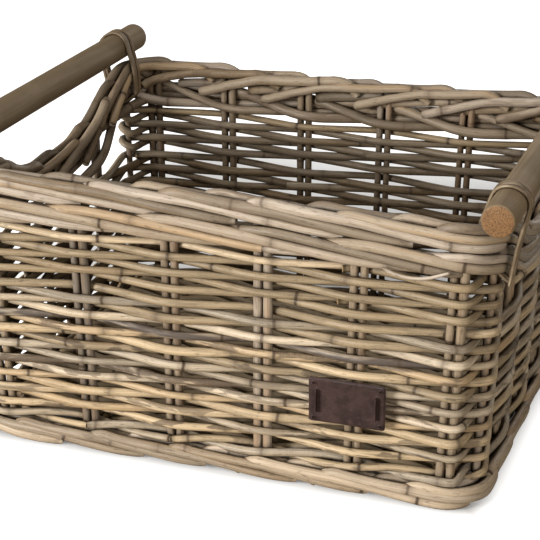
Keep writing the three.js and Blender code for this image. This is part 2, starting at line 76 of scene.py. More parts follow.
class Wall(Enum):
    """The four walls, each with the direction that it faces."""

    FRONT = (0.0, -1.0)
    RIGHT = (1.0, 0.0)
    BACK = (0.0, 1.0)
    LEFT = (-1.0, 0.0)

    @property
    def out(self) -> np.ndarray:
        """Give the direction out of the wall."""
        return np.array([self.value[0], self.value[1], 0.0])

    @property
    def onward(self) -> np.ndarray:
        """Give the direction along the wall, anticlockwise seen from above."""
        return np.array([-self.value[1], self.value[0], 0.0])

    @property
    def is_long(self) -> bool:
        """Tell whether this is the front or the back wall."""
        return self in (Wall.FRONT, Wall.BACK)


@dataclass(frozen=True)
class BasketSizes:
    """Driving sizes of the basket, in metres."""

    rim_width: float = 0.400
    rim_depth: float = 0.336
    rim_height: float = 0.214
    foot_inset_x: float = 0.0096
    foot_inset_y: float = 0.012
    long_wall_bow: float = 0.008
    hand_dip: float = 0.036
    weaver_radius: float = 0.0028
    stake_radius: float = 0.0029
    pair_spacing: float = 0.007
    long_pitch: float = 0.069
    side_pitch: float = 0.0685
    corner_stake_y: float = 0.137
    row_pitch: float = 0.00594
    first_row_z: float = 0.0316
    foot_wale_z: float = 0.0223
    rim_band_first: float = 0.0228
    rim_band_step: float = 0.0068
    rim_band_radius: float = 0.0036
    rim_band_drop: float = 0.0424
    wall_turns: float = 8.5
    upper_rows: int = 6
    wall_half: float = 0.0096
    peg_clearance: float = 0.0002
    weave_clearance: float = 0.0007

    @property
    def peg_radius(self) -> float:
        """Give the distance from a stake's axis to a weaver's axis."""
        return self.stake_radius + self.weaver_radius + self.peg_clearance

    @property
    def weave_reach(self) -> float:
        """Give how far a weaver swings out of the wall's middle at a pair of stakes."""
        return self.peg_radius / (1.0 - self.pair_spacing / self.side_pitch) + self.weave_clearance


@dataclass(frozen=True)
class Stake:
    """A stake's place: its wall, its place along it at the rim, and what stands beside it."""

    wall: Wall
    place: float
    single: bool
    beside_corner: bool


@dataclass(frozen=True)
class Peg:
    """What a drawn rod bends round, in plan."""

    x: float
    y: float
    radius: float
    side: Side
    steps: int
    stake: int


@dataclass
class Bend:
    """A corner of a drawn rod's path, in plan, and its share of one turn."""

    x: float
    y: float
    stake: int
    share: float = 0.0


class WallPlan:
    """Where the walls, the stakes and the rim lie."""

    # How near an end wall the rim dips, and its dip's shares from the wall's middle to its corner.
    END_WALL, DIP = 0.025, (1.0, 1.0, 0.75, 0.3, 0.0)

    def __init__(self, sizes: BasketSizes) -> None:
        """Set out the stakes.

        Args:
            sizes: the driving sizes.
        """
        self.sizes = sizes
        self.stakes = self._set_out()

    def half_x(self, z: float) -> float:
        """Give half the distance between the middles of the end walls at height z."""
        s = self.sizes
        return s.rim_width / 2 - s.wall_half - s.foot_inset_x * (1 - z / s.rim_height)

    def half_y(self, z: float) -> float:
        """Give half the distance between the middles of the long walls at height z."""
        s = self.sizes
        return s.rim_depth / 2 - s.wall_half - s.foot_inset_y * (1 - z / s.rim_height)

    def bow(self, x: float, z: float) -> float:
        """Give how far a long wall bows in at x and height z."""
        s = self.sizes
        return s.long_wall_bow * z / s.rim_height * (1 - (x / self.half_x(z)) ** 2)

    def _set_out(self) -> list[Stake]:
        """List the stakes in order from the front left corner towards +X."""
        s = self.sizes
        long_places = [step * s.long_pitch for step in (-2.5, -1.5, -0.5, 0.5, 1.5, 2.5)]
        side_places = [-s.corner_stake_y, -s.side_pitch, 0.0, s.side_pitch, s.corner_stake_y]
        stakes = []
        for wall in Wall:
            places = long_places if wall.is_long else side_places
            if wall in (Wall.BACK, Wall.LEFT):
                places = places[::-1]
            for place in places:
                single = not wall.is_long and abs(place) == s.corner_stake_y
                beside = wall.is_long and abs(place) == long_places[-1]
                stakes.append(Stake(wall, place, single, beside))
        return stakes

    def stake_point(self, stake: Stake, z: float, along: float = 0.0, out: float = 0.0) -> np.ndarray:
        """Give the point of a stake at height z.

        Args:
            stake: the stake.
            z: the height.
            along: how far to move along its wall.
            out: how far to move out of its wall.

        Returns:
            The point.
        """
        rim = self.sizes.rim_height
        if stake.wall.is_long:
            x = stake.place * self.half_x(z) / self.half_x(rim)
            point = np.array([x, 0.0, z]) + stake.wall.out * (self.half_y(z) - self.bow(x, z))
        else:
            y = stake.place * self.half_y(z) / self.half_y(rim)
            point = np.array([0.0, y, z]) + stake.wall.out * self.half_x(z)
        return point + stake.wall.onward * along + stake.wall.out * out

    def rim_top(self, x: float, y: float) -> float:
        """Give the rim's height above a place in plan.

        Args:
            x: place across.
            y: place along the poles.

        Returns:
            The height of the rim's top there.
        """
        s = self.sizes
        if abs(x) < self.half_x(0.0) - self.END_WALL:
            return s.rim_height
        stops = (0.0, s.side_pitch / 2, s.side_pitch, (s.side_pitch + s.corner_stake_y) / 2,
                 s.corner_stake_y)
        return s.rim_height - s.hand_dip * float(np.interp(abs(y), stops, self.DIP))

    def pegs(self, index: int, side: Side, z: float) -> list[Peg]:
        """List what a weaver bends round at one stake.

        Args:
            index: the stake's number.
            side: the side that the weaver passes on.
            z: the weaver's height.

        Returns:
            One or two pegs.
        """
        s = self.sizes
        index %= len(self.stakes)
        stake = self.stakes[index]
        corner_steps = 2 if side is Side.OUTSIDE else 1

        def peg(point: np.ndarray, radius: float, steps: int) -> Peg:
            """Make a peg of this stake."""
            return Peg(point[0], point[1], radius, side, steps, index)

        if stake.single:
            return [peg(self.stake_point(stake, z), s.peg_radius, corner_steps)]
        if not stake.beside_corner:
            return [peg(self.stake_point(stake, z, 0.0, side.value * s.weave_reach), 0.0, 1)]
        ahead = self.stakes[(index + 1) % len(self.stakes)].single
        half = s.pair_spacing / 2
        first = peg(self.stake_point(stake, z, -half), s.peg_radius, 1 if ahead else corner_steps)
        second = peg(self.stake_point(stake, z, half), s.peg_radius, corner_steps if ahead else 1)
        return [first, second]

    @staticmethod
    def draw_tight(pegs: Sequence[Peg], closed: bool) -> list[Bend]:
        """Draw a rod tight round a run of pegs.

        Args:
            pegs: the pegs in order.
            closed: whether the run closes on itself.

        Returns:
            The corners of the rod's path.
        """
        def heading(start: Peg, end: Peg) -> float:
            """Give the direction of the straight run from one peg to the next."""
            dx, dy = end.x - start.x, end.y - start.y
            turn = (start.side.value * start.radius - end.side.value * end.radius) / math.hypot(dx, dy)
            return math.atan2(dy, dx) + math.asin(turn)

        bends = []
        last = len(pegs) - 1
        for i, peg in enumerate(pegs):
            after = pegs[(i + 1) % len(pegs)] if closed or i < last else None
            before = pegs[i - 1] if closed or i > 0 else None
            leaving = heading(peg, after) if after else heading(before, peg)
            arriving = heading(before, peg) if before else leaving
            swing = math.atan2(math.sin(leaving - arriving), math.cos(leaving - arriving))
            if swing * peg.side.value < -math.pi / 2:
                swing += TAU * peg.side.value
            for j in range(peg.steps):
                angle = arriving + (j + 0.5) * swing / peg.steps
                reach = peg.side.value * peg.radius / math.cos(swing / (2 * peg.steps))
                bends.append(Bend(peg.x + reach * math.sin(angle), peg.y - reach * math.cos(angle),
                                  peg.stake))
        return bends

    def turn_of_weaving(self, phase: int, z: float) -> list[Bend]:
        """Draw one full turn of a weaver at height z.

        Args:
            phase: 0 or 1, which of the two alternating weavers it is.
            z: the height.

        Returns:
            The corners of its path, each with its share of the turn.
        """
        pegs = [peg for index in range(len(self.stakes))
                for peg in self.pegs(index, Side.of(index + phase), z)]
        bends = self.draw_tight(pegs, True)
        runs = [0.0]
        for a, b in zip(bends, bends[1:] + bends[:1]):
            runs.append(runs[-1] + math.hypot(b.x - a.x, b.y - a.y))
        for bend, run in zip(bends, runs):
            bend.share = run / runs[-1]
        return bends


class Wobble:
    """A gentle wander of hand-laid rods, the same for neighbours so that they stay side by side."""

    # How many waves there are, and how much their sizes, lengths and slopes differ.
    WAVES, SIZES, RATES, SLOPE = 4, (0.4, 1.0), (0.7, 1.3), 40

    def __init__(self, seed: int, size: float, pitch: float) -> None:
        """Draw the waves.

        Args:
            seed: the seed of the waves.
            size: how far the rods wander.
            pitch: the length of the longest wave.
        """
        rng = random.Random(seed)
        self.waves = [(size * rng.uniform(*self.SIZES) / k, TAU * k / pitch * rng.uniform(*self.RATES),
                       rng.uniform(-self.SLOPE, self.SLOPE), rng.uniform(0, TAU))
                      for k in range(1, self.WAVES + 1)]

    def at(self, along: np.ndarray, z: np.ndarray) -> np.ndarray:
        """Give the wander at places along the rods and heights."""
        total = np.zeros_like(along)
        for size, rate, rise, start in self.waves:
            total += size * np.sin(along * rate + z * rise + start)
        return total


@dataclass
class Rod:
    """One rattan rod: its middle line, its thickness and what makes it its own."""

    line: np.ndarray
    radius: float
    tone: float
    seed: float
    taper: float = 0.0


@dataclass
class RodBench:
    """Turns middle lines into round rods and rods into one mesh."""

    rng: random.Random
    step: float = 0.004
    sides: int = 10
    knuckle_swell: float = 0.055
    knuckle_reach: float = 0.0035
    lump: float = 0.035
    lump_rates: tuple[float, float] = (61.0, 23.0)
    spread: float = 0.12
    taper: float = 0.12
    end_wear: float = 0.86
    end_bulge: float = 0.12
    oval: float = 0.04

    @staticmethod
    def ease(points: Sequence[np.ndarray], reach: float) -> np.ndarray:
        """Round the corners of a path.

        Args:
            points: the corners.
            reach: how far from each corner the rounding starts.

        Returns:
            The points of the rounded path.
        """
        corners = [np.asarray(p, float) for p in points]
        eased = [corners[0]]
        for before, here, after in zip(corners, corners[1:], corners[2:]):
            back, on = before - here, after - here
            a = here + back * min(reach / np.linalg.norm(back), EASE_LIMIT)
            b = here + on * min(reach / np.linalg.norm(on), EASE_LIMIT)
            eased.extend((1 - t) ** 2 * a + 2 * t * (1 - t) * here + t * t * b for t in EASE_SHARES)
        eased.append(corners[-1])
        return np.array(eased)

    def resample(self, line: np.ndarray) -> np.ndarray:
        """Spread points evenly along a path."""
        gaps = np.linalg.norm(np.diff(line, axis=0), axis=1)
        runs = np.concatenate([[0.0], np.cumsum(gaps)])
        count = max(int(runs[-1] / self.step), 3)
        places = np.linspace(0.0, runs[-1], count + 1)
        return np.stack([np.interp(places, runs, line[:, k]) for k in range(3)], axis=1)

    def smooth(self, corners: Sequence[np.ndarray], reach: float) -> np.ndarray:
        """Round the corners of a path and spread points evenly along it."""
        return self.resample(self.ease(corners, reach))

    def new_rod(self, line: np.ndarray, radius: float, even: bool = False) -> Rod:
        """Make a rod along a path, of its own thickness and tone.

        Args:
            line: the path's points.
            radius: its usual radius.
            even: whether the path is sampled already.

        Returns:
            The rod.
        """
        rng = self.rng
        points = line if even else self.resample(line)
        own = radius * rng.uniform(1 - self.spread, 1 + self.spread)
        tone, seed = rng.random(), rng.uniform(0.0, 100.0)
        return Rod(points, own, tone, seed, rng.uniform(-self.taper, self.taper))

    def cut(self, line: np.ndarray, stops: Sequence[int], radius: float) -> list[Rod]:
        """Cut a path into rods that meet end to end.

        Args:
            line: the path's points, evenly spaced.
            stops: the numbers of the points where one rod gives way to the next.
            radius: the rods' usual radius.

        Returns:
            The rods.
        """
        bounds = [0, *stops, len(line) - 1]
        return [self.new_rod(line[first:last + 1], radius, even=True)
                for first, last in zip(bounds, bounds[1:])]

    def thickness(self, rod: Rod, run: np.ndarray) -> np.ndarray:
        """Give a rod's radius along its run: knuckled, tapered, uneven and worn at its ends."""
        away = np.abs((run / KNUCKLE_SPACING + rod.seed) % 1.0 - 0.5) * KNUCKLE_SPACING
        swell = self.knuckle_swell * np.exp(-((away / self.knuckle_reach) ** 2))
        short, long = self.lump_rates
        lumps = self.lump * np.sin(run * short + rod.seed * 7.0) * np.sin(run * long + rod.seed)
        radius = rod.radius * (1 + swell + rod.taper * (run / run[-1] - 0.5) + lumps)
        radius[[0, -1]] *= self.end_wear
        return radius

    def shell(self, rod: Rod) -> tuple[np.ndarray, np.ndarray]:
        """Sweep a rod.

        Args:
            rod: the rod.

        Returns:
            Its points, ring by ring with the middles of its two ends last, and for each point its
            place in the rod itself: the run along it and two places across it.
        """
        line = rod.line
        along = np.gradient(line, axis=0)
        along /= np.linalg.norm(along, axis=1)[:, None]
        across = np.cross(along, UP if abs(along[:, 2]).max() < STEEP else UPRIGHT_GUIDE)
        across /= np.linalg.norm(across, axis=1)[:, None]
        above = np.cross(across, along)
        run = np.concatenate([[0.0], np.cumsum(np.linalg.norm(np.diff(line, axis=0), axis=1))])
        flat = 1.0 + self.oval * np.sin(rod.seed * 3.0)
        turn = TAU * np.arange(self.sides) / self.sides
        circle = (np.cos(turn)[None, :, None] * across[:, None, :] * flat
                  + np.sin(turn)[None, :, None] * above[:, None, :] / flat)
        rings = line[:, None, :] + circle * self.thickness(rod, run)[:, None, None]
        bulge = rod.radius * self.end_bulge
        middles = np.array([line[0] - along[0] * bulge, line[-1] + along[-1] * bulge])
        own = np.empty((len(line), self.sides, 3))
        own[:, :, 0] = run[:, None]
        own[:, :, 1] = np.cos(turn) * rod.radius
        own[:, :, 2] = np.sin(turn) * rod.radius
        ends = np.array([[run[0], 0.0, 0.0], [run[-1], 0.0, 0.0]])
        return np.concatenate([rings.reshape(-1, 3), middles]), np.concatenate([own.reshape(-1, 3), ends])

    def faces(self, count: int, start: int) -> list[list[int]]:
        """List the faces of a swept rod.

        Args:
            count: how many rings it has.
            start: the number of its first point.

        Returns:
            The faces, all facing out.
        """
        sides = self.sides
        i, k = np.meshgrid(np.arange(count - 1), np.arange(sides), indexing="ij")
        beside = (k + 1) % sides
        quads = np.stack([i * sides + beside, (i + 1) * sides + beside, (i + 1) * sides + k, i * sides + k],
                         axis=-1)
        faces = (quads.reshape(-1, 4) + start).tolist()
        tip = start + count * sides
        for j in range(sides):
            first, second = start + j, start + (j + 1) % sides
            faces.append([first, second, tip])
        for j in range(sides):
            first, second = tip - sides + j, tip - sides + (j + 1) % sides
            faces.append([second, first, tip + 1])
        return faces

    def mesh(self, name: str, rods: Iterable[Rod]) -> bpy.types.Object:
        """Sweep each rod and join them in one mesh with the rods' own coordinates.

        Args:
            name: the piece's name.
            rods: the rods.

        Returns:
            The piece, with point attributes rod_place and rod_look.
        """
        places, own_places, own_looks, faces = [], [], [], []
        start = 0
        for rod in rods:
            points, own = self.shell(rod)
            look = np.tile([rod.tone, rod.seed, 0.0], (len(points), 1))
            look[-2:, 2] = 1.0
            places.append(points)
            own_places.append(own)
            own_looks.append(look)
            faces.extend(self.faces(len(rod.line), start))
            start += len(points)
        data = bpy.data.meshes.new(name)
        data.from_pydata(np.concatenate(places).tolist(), [], faces)
        for key, values in (("rod_place", own_places), ("rod_look", own_looks)):
            layer = data.attributes.new(key, "FLOAT_VECTOR", "POINT")
            layer.data.foreach_set("vector", np.concatenate(values).astype(np.float32).ravel())
        data.shade_smooth()
        piece = bpy.data.objects.new(name, data)
        bpy.context.scene.collection.objects.link(piece)
        return piece


# Linear red, green and blue.
Colour = tuple[float, float, float]


@dataclass(frozen=True)
class RodFinish:
    """The bark of one kind of rattan."""

    name: str
    slot: str
    pale: Colour
    usual: Colour
    warm: Colour
    dark: Colour
    scar: Colour = (0.060, 0.038, 0.022)
    pith: Colour = (0.500, 0.330, 0.160)
    roughness: float = 0.52
    peel: float = 0.5


WEAVER = RodFinish("weaver_rattan", "weaver_rattan", (0.665, 0.552, 0.415), (0.575, 0.435, 0.268),
                   (0.470, 0.315, 0.165), (0.090, 0.060, 0.038), peel=0.72)
STAKE = RodFinish("stake_rattan", "stake_rattan", (0.440, 0.370, 0.300), (0.350, 0.270, 0.185),
                  (0.400, 0.230, 0.105), (0.150, 0.100, 0.064), peel=0.4)
BORDER = RodFinish("border_rattan", "border_rattan", (0.470, 0.392, 0.315), (0.380, 0.298, 0.210),
                   (0.470, 0.310, 0.160), (0.150, 0.100, 0.064), pith=(0.620, 0.510, 0.380), peel=0.38)
# The foot border's rattan is the rim border's made paler, as painted light on the foot, which the lamps
# leave in shade.
FOOT_BORDER_PAINTED_LIGHT = replace(BORDER, name="foot_rattan_painted_light", pale=(0.640, 0.532, 0.425), usual=(0.520, 0.408, 0.288))
BASE = RodFinish("base_rattan", "base_rattan", (0.420, 0.330, 0.210), (0.320, 0.240, 0.145),
                 (0.340, 0.215, 0.110), (0.180, 0.125, 0.075))
CANE = RodFinish("split_cane", "cane", (0.340, 0.265, 0.175), (0.240, 0.175, 0.105),
                 (0.300, 0.180, 0.085), (0.120, 0.080, 0.046), roughness=0.42)


@dataclass(frozen=True)
class WoodFinish:
    """The colours of the poles' weathered sides and of their sawn ends."""

    shade: Colour = (0.186, 0.131, 0.074)
    light: Colour = (0.229, 0.167, 0.098)
    vein: Colour = (0.110, 0.078, 0.048)
    streak: Colour = (0.290, 0.225, 0.145)
    pit: Colour = (0.065, 0.044, 0.027)
    sawn_shade: Colour = (0.240, 0.126, 0.050)
    sawn_light: Colour = (0.320, 0.184, 0.082)
    crumb: Colour = (0.130, 0.066, 0.030)
    pore: Colour = (0.110, 0.052, 0.024)


@dataclass(frozen=True)
class LeatherFinish:
    """The colours of the tag."""

    shade: Colour = (0.025, 0.0130, 0.0118)
    light: Colour = (0.048, 0.025, 0.0225)
    crease: Colour = (0.070, 0.042, 0.038)


# Colours that darken a rod: painted shade where it faces the basket's inside, painted shade in the gaps
# between rods, and the weather on one rod.
PAINTED_INSIDE_SHADE: Colour = (0.042, 0.020, 0.002)
PAINTED_GAP_SHADE: Colour = (0.022, 0.011, 0.003)
WORN: Colour = (0.085, 0.066, 0.058)


class Grain(NamedTuple):
    """A noise in a rod's bark: its waves in a metre along and across, its detail and how bent it is."""

    along: float
    across: float
    detail: float
    bend: float = 0.0


GRAINS = {"fibre": Grain(24.0, 1700.0, 5.0), "streak": Grain(12.0, 620.0, 5.0),
          "blotch": Grain(34.0, 170.0, 9.0, 0.4), "patch": Grain(7.0, 110.0, 2.0),
          "fleck": Grain(150.0, 900.0, 2.0)}


Socket = bpy.types.NodeSocket
Given = Union[Socket, float, Colour]


class Nodes:
    """Adds nodes to a tree and links them, with short calls."""

    def __init__(self, tree: bpy.types.NodeTree) -> None:
        """Hold the tree.

        Args:
            tree: the node tree to add to.
        """
        self.tree = tree

    def add(self, kind: str, **settings) -> bpy.types.Node:
        """Add a node of a kind and set its properties."""
        node = self.tree.nodes.new(kind)
        for key, value in settings.items():
            setattr(node, key, value)
        return node

    def join(self, source: Given, target: Socket) -> None:
        """Link an output to an input, or set the input to a plain value."""
        if isinstance(source, Socket):
            self.tree.links.new(source, target)
        else:
            target.default_value = source

    def parts(self, vector: Socket) -> list[Socket]:
        """Take a vector apart and give its three numbers."""
        node = self.add("ShaderNodeSeparateXYZ")
        self.join(vector, node.inputs[0])
        return node.outputs[:]

    def object_place(self) -> Socket:
        """Give the place in the object's own coordinates."""
        return self.add("ShaderNodeTexCoord").outputs["Object"]

    def own(self, name: str) -> Socket:
        """Give a point attribute."""
        return self.add("ShaderNodeAttribute", attribute_name=name).outputs["Vector"]

    def coat(self, surface: bpy.types.Node, colour: Given, roughness: Given, shine: float) -> None:
        """Give a surface its colour, roughness and shine."""
        self.join(colour, surface.inputs["Base Color"])
        self.join(roughness, surface.inputs["Roughness"])
        surface.inputs["Specular IOR Level"].default_value = shine

    def cells(self, place: Socket, scale: float, feature: str = "F1") -> Socket:
        """Add a cell texture and give the distance from its cells' middles."""
        node = self.add("ShaderNodeTexVoronoi", feature=feature)
        self.join(self.scaled(place, (scale, scale, scale)), node.inputs["Vector"])
        node.inputs["Scale"].default_value = 1.0
        return node.outputs["Distance"]

    def math(self, operation: str, *values: Given, clamp: bool = False) -> Socket:
        """Add a Math node and give its output."""
        node = self.add("ShaderNodeMath", operation=operation, use_clamp=clamp)
        for value, socket in zip(values, node.inputs):
            self.join(value, socket)
        return node.outputs[0]

    def ramp(self, value: Given, low: float, high: float, start: Given = 0.0, end: float = 1.0) -> Socket:
        """Map a value smoothly from one range to another and give the output."""
        node = self.add("ShaderNodeMapRange", interpolation_type="SMOOTHSTEP")
        for key, setting in (("Value", value), ("From Min", low), ("From Max", high),
                             ("To Min", start), ("To Max", end)):
            self.join(setting, node.inputs[key])
        return node.outputs["Result"]

    def blend(self, share: Given, first: Given, second: Given, mode: str = "MIX") -> Socket:
        """Mix two colours and give the result."""
        node = self.add("ShaderNodeMix", data_type="RGBA", blend_type=mode)
        self.join(share, node.inputs["Factor"])
        for value, socket in ((first, node.inputs[6]), (second, node.inputs[7])):
            self.join((*value, 1.0) if isinstance(value, tuple) else value, socket)
        return node.outputs[2]

    def grey(self, value: Given) -> Socket:
        """Turn a value into a grey colour and give it."""
        node = self.add("ShaderNodeCombineXYZ")
        for socket in node.inputs:
            self.join(value, socket)
        return node.outputs[0]

    def noise(self, vector: Socket, scale: float, detail: float, distortion: float = 0.0) -> Socket:
        """Add a noise texture and give its value."""
        node = self.add("ShaderNodeTexNoise")
        self.join(vector, node.inputs["Vector"])
        node.inputs["Scale"].default_value = scale
        node.inputs["Detail"].default_value = detail
        node.inputs["Distortion"].default_value = distortion
        return node.outputs["Fac"]

    def grain(self, place: Socket, grain: Grain, shift: Socket) -> Socket:
        """Add a noise drawn out along a rod and give its value."""
        stretch = (grain.along, grain.across, grain.across)
        return self.noise(self.scaled(place, stretch, shift), 1.0, grain.detail, grain.bend)

    def dice(self, seed: Given) -> bpy.types.Node:
        """Add a white noise that rolls the same numbers for the same seed."""
        node = self.add("ShaderNodeTexWhiteNoise", noise_dimensions="1D")
        self.join(seed, node.inputs["W"])
        return node

    def relief(self, height: Given, strength: float, distance: float, surface: bpy.types.Node) -> None:
        """Bump a surface with a height."""
        bump = self.add("ShaderNodeBump")
        bump.inputs["Strength"].default_value = strength
        bump.inputs["Distance"].default_value = distance
        self.join(height, bump.inputs["Height"])
        self.join(bump.outputs["Normal"], surface.inputs["Normal"])

    def scaled(self, vector: Socket, scale: tuple[float, float, float],
               shift: Union[Socket, None] = None) -> Socket:
        """Stretch a vector and shift it, and give the result."""
        node = self.add("ShaderNodeVectorMath", operation="MULTIPLY")
        self.join(vector, node.inputs[0])
        node.inputs[1].default_value = scale
        if shift is None:
            return node.outputs[0]
        moved = self.add("ShaderNodeVectorMath", operation="ADD")
        self.join(node.outputs[0], moved.inputs[0])
        self.join(shift, moved.inputs[1])
        return moved.outputs[0]


BARK_SOCKETS = {
    "INPUT": {"Color": ("Pale", "Usual", "Warm", "Dark", "Scar", "Pith"), "Float": ("Peel", "Roughness")},
    "OUTPUT": {"Color": ("Colour",), "Float": ("Height", "Roughness")},
}


def painted_inside_shade(n: Nodes) -> Socket:
    """Give how far a rod is left unshaded: fully on the basket's outside; where it faces the inside, painted
    shade darkens it, deeper low down and fading near the rim's top.
    """
    sizes = BasketSizes()
    x, y, height = n.parts(n.object_place())
    facing = n.parts(n.add("ShaderNodeNewGeometry").outputs["Normal"])
    shares = []
    for place, towards, width in ((x, facing[0], sizes.rim_width), (y, facing[1], sizes.rim_depth)):
        nearness = n.math("POWER", n.math("ABSOLUTE", n.math("DIVIDE", place, width / 2)), 6.0)
        shares.append(n.math("MULTIPLY", nearness, n.math("MULTIPLY", n.math("SIGN", place), towards)))
    outwards = n.math("ADD", *shares)
    # Painted shade on the inside: deepest low down, and lifted near the rim's top as painted light.
    painted_rim_light = n.ramp(height, 0.150, 0.188, 0.0, 0.85)
    painted_inside_light = n.ramp(height, 0.04, 0.19, 0.10, 0.52)
    return n.math("MAXIMUM", n.ramp(outwards, -0.25, 0.10, painted_inside_light, 1.0), painted_rim_light)


def bark_stain_and_painted_shade(n: Nodes, given: bpy.types.NodeOutputs, grains: dict[str, Socket], tone: Socket,
          dice: Sequence[Socket]) -> Socket:
    """Give the bark's colour between its knuckles, with painted shade where it faces the basket's inside.

    Args:
        n: the nodes to add to.
        given: the group's inputs.
        grains: the noises of the bark, by name.
        tone: the rod's tone.
        dice: three numbers that the rod's seed rolls.

    Returns:
        The colour.
    """
    gate, shade, hue = dice
    blotch = grains["blotch"]
    colour = n.blend(n.ramp(tone, 0.25, 0.75), given["Usual"], given["Pale"])
    colour = n.blend(n.ramp(hue, 0.82, 0.95, 0.0, 0.7), colour, given["Warm"])
    colour = n.blend(n.ramp(grains["streak"], 0.48, 0.62, 0.0, 0.6), colour, given["Usual"])
    colour = n.blend(n.ramp(grains["patch"], 0.54, 0.70, 0.0, 0.5), colour, given["Warm"])
    peeled = n.math("MULTIPLY", n.ramp(gate, 0.45, 0.90, 0.22, 1.15), given["Peel"])
    colour = n.blend(n.math("MULTIPLY", n.ramp(blotch, 0.52, 0.56), peeled), colour, given["Dark"])
    mottled = n.math("MULTIPLY", n.ramp(gate, 0.84, 0.86, 0.0, 1.25), n.ramp(blotch, 0.40, 0.50))
    colour = n.blend(n.math("MULTIPLY", mottled, given["Peel"]), colour, given["Dark"])
    worn = n.math("MULTIPLY", n.ramp(tone, 1.2, 1.4), n.ramp(blotch, 0.34, 0.56, 0.45, 0.92))
    colour = n.blend(worn, colour, WORN)
    colour = n.blend(n.ramp(grains["fibre"], 0.46, 0.62, 0.0, 0.34), colour, given["Dark"])
    colour = n.blend(n.ramp(grains["fleck"], 0.60, 0.72, 0.0, 0.50), colour, given["Scar"])
    colour = n.blend(1.0, colour, n.grey(n.ramp(shade, 0.0, 0.55, 0.48, 1.0)), "MULTIPLY")
    # Painted shade: darken the rod towards a dark brown where it faces the basket's inside.
    return n.blend(n.math("SUBTRACT", 1.0, painted_inside_shade(n)), colour, PAINTED_INSIDE_SHADE)


def make_bark_group() -> bpy.types.NodeTree:
    """Make the group that gives a rod's bark: its colour with painted shade on the basket's inside, its
    height for the bump, and its roughness.
    """
    group = bpy.data.node_groups.new("rod_bark", "ShaderNodeTree")
    for direction, kinds in BARK_SOCKETS.items():
        for kind, labels in kinds.items():
            for label in labels:
                group.interface.new_socket(label, in_out=direction, socket_type="NodeSocket" + kind)
    n = Nodes(group)
    given = n.add("NodeGroupInput").outputs
    result = n.add("NodeGroupOutput").inputs
    place = n.own("rod_place")
    tone, seed, cut = n.parts(n.own("rod_look"))
    run = n.parts(place)[0]
    moved = n.add("ShaderNodeCombineXYZ")
    n.join(n.math("MULTIPLY", seed, 3.7), moved.inputs[0])
    n.join(n.math("MULTIPLY", seed, 1.3), moved.inputs[1])
    grains = {key: n.grain(place, grain, moved.outputs[0]) for key, grain in GRAINS.items()}
    blotch = grains["blotch"]
    rolled = n.add("ShaderNodeSeparateColor")
    n.join(n.dice(seed).outputs["Color"], rolled.inputs[0])
    colour = bark_stain_and_painted_shade(n, given, grains, tone, rolled.outputs)
    # The knuckles: a dark ring in a darker sheath, stronger on some knuckles than on others.
    number = n.math("ADD", n.math("DIVIDE", run, KNUCKLE_SPACING), seed)
    jag = n.math("MULTIPLY", n.math("SUBTRACT", blotch, 0.5), 0.02)
    beat = n.math("SUBTRACT", n.math("FRACT", number), 0.5)
    away = n.math("ABSOLUTE", n.math("ADD", beat, jag))
    chance = n.dice(n.math("ADD", n.math("FLOOR", number), n.math("MULTIPLY", tone, 50.0)))
    mark = n.ramp(chance.outputs["Value"], 0.15, 0.75, 0.25, 1.0)
    ring = n.math("MULTIPLY", n.ramp(away, 0.003, 0.014, 1.0, 0.0), mark)
    sheath = n.ramp(away, 0.01, 0.05, 0.35, 0.0)
    colour = n.blend(sheath, colour, given["Dark"])
    colour = n.blend(n.math("MULTIPLY", ring, 0.95), colour, given["Scar"])
    # The cut ends show the pith and its pores.
    pores = n.noise(n.scaled(place, (900.0, 2600.0, 2600.0)), 1.0, 2.0)
    cut_face = n.ramp(cut, 0.03, 0.12)
    pith = n.blend(n.ramp(pores, 0.5, 0.62, 0.0, 0.7), given["Pith"], given["Dark"])
    n.join(n.blend(cut_face, colour, pith), result["Colour"])
    height = n.math("ADD", n.math("MULTIPLY", grains["fibre"], 0.35), n.math("MULTIPLY", blotch, 0.4))
    height = n.math("SUBTRACT", height, n.math("MULTIPLY", ring, 0.9))
    pitted = n.math("MULTIPLY", pores, n.math("MULTIPLY", cut_face, 0.5))
    n.join(n.math("ADD", height, pitted), result["Height"])
    rough = n.math("ADD", given["Roughness"], n.ramp(blotch, 0.4, 0.75, -0.06, 0.2))
    n.join(n.math("ADD", rough, n.math("MULTIPLY", cut_face, 0.25), clamp=True), result["Roughness"])
    return group


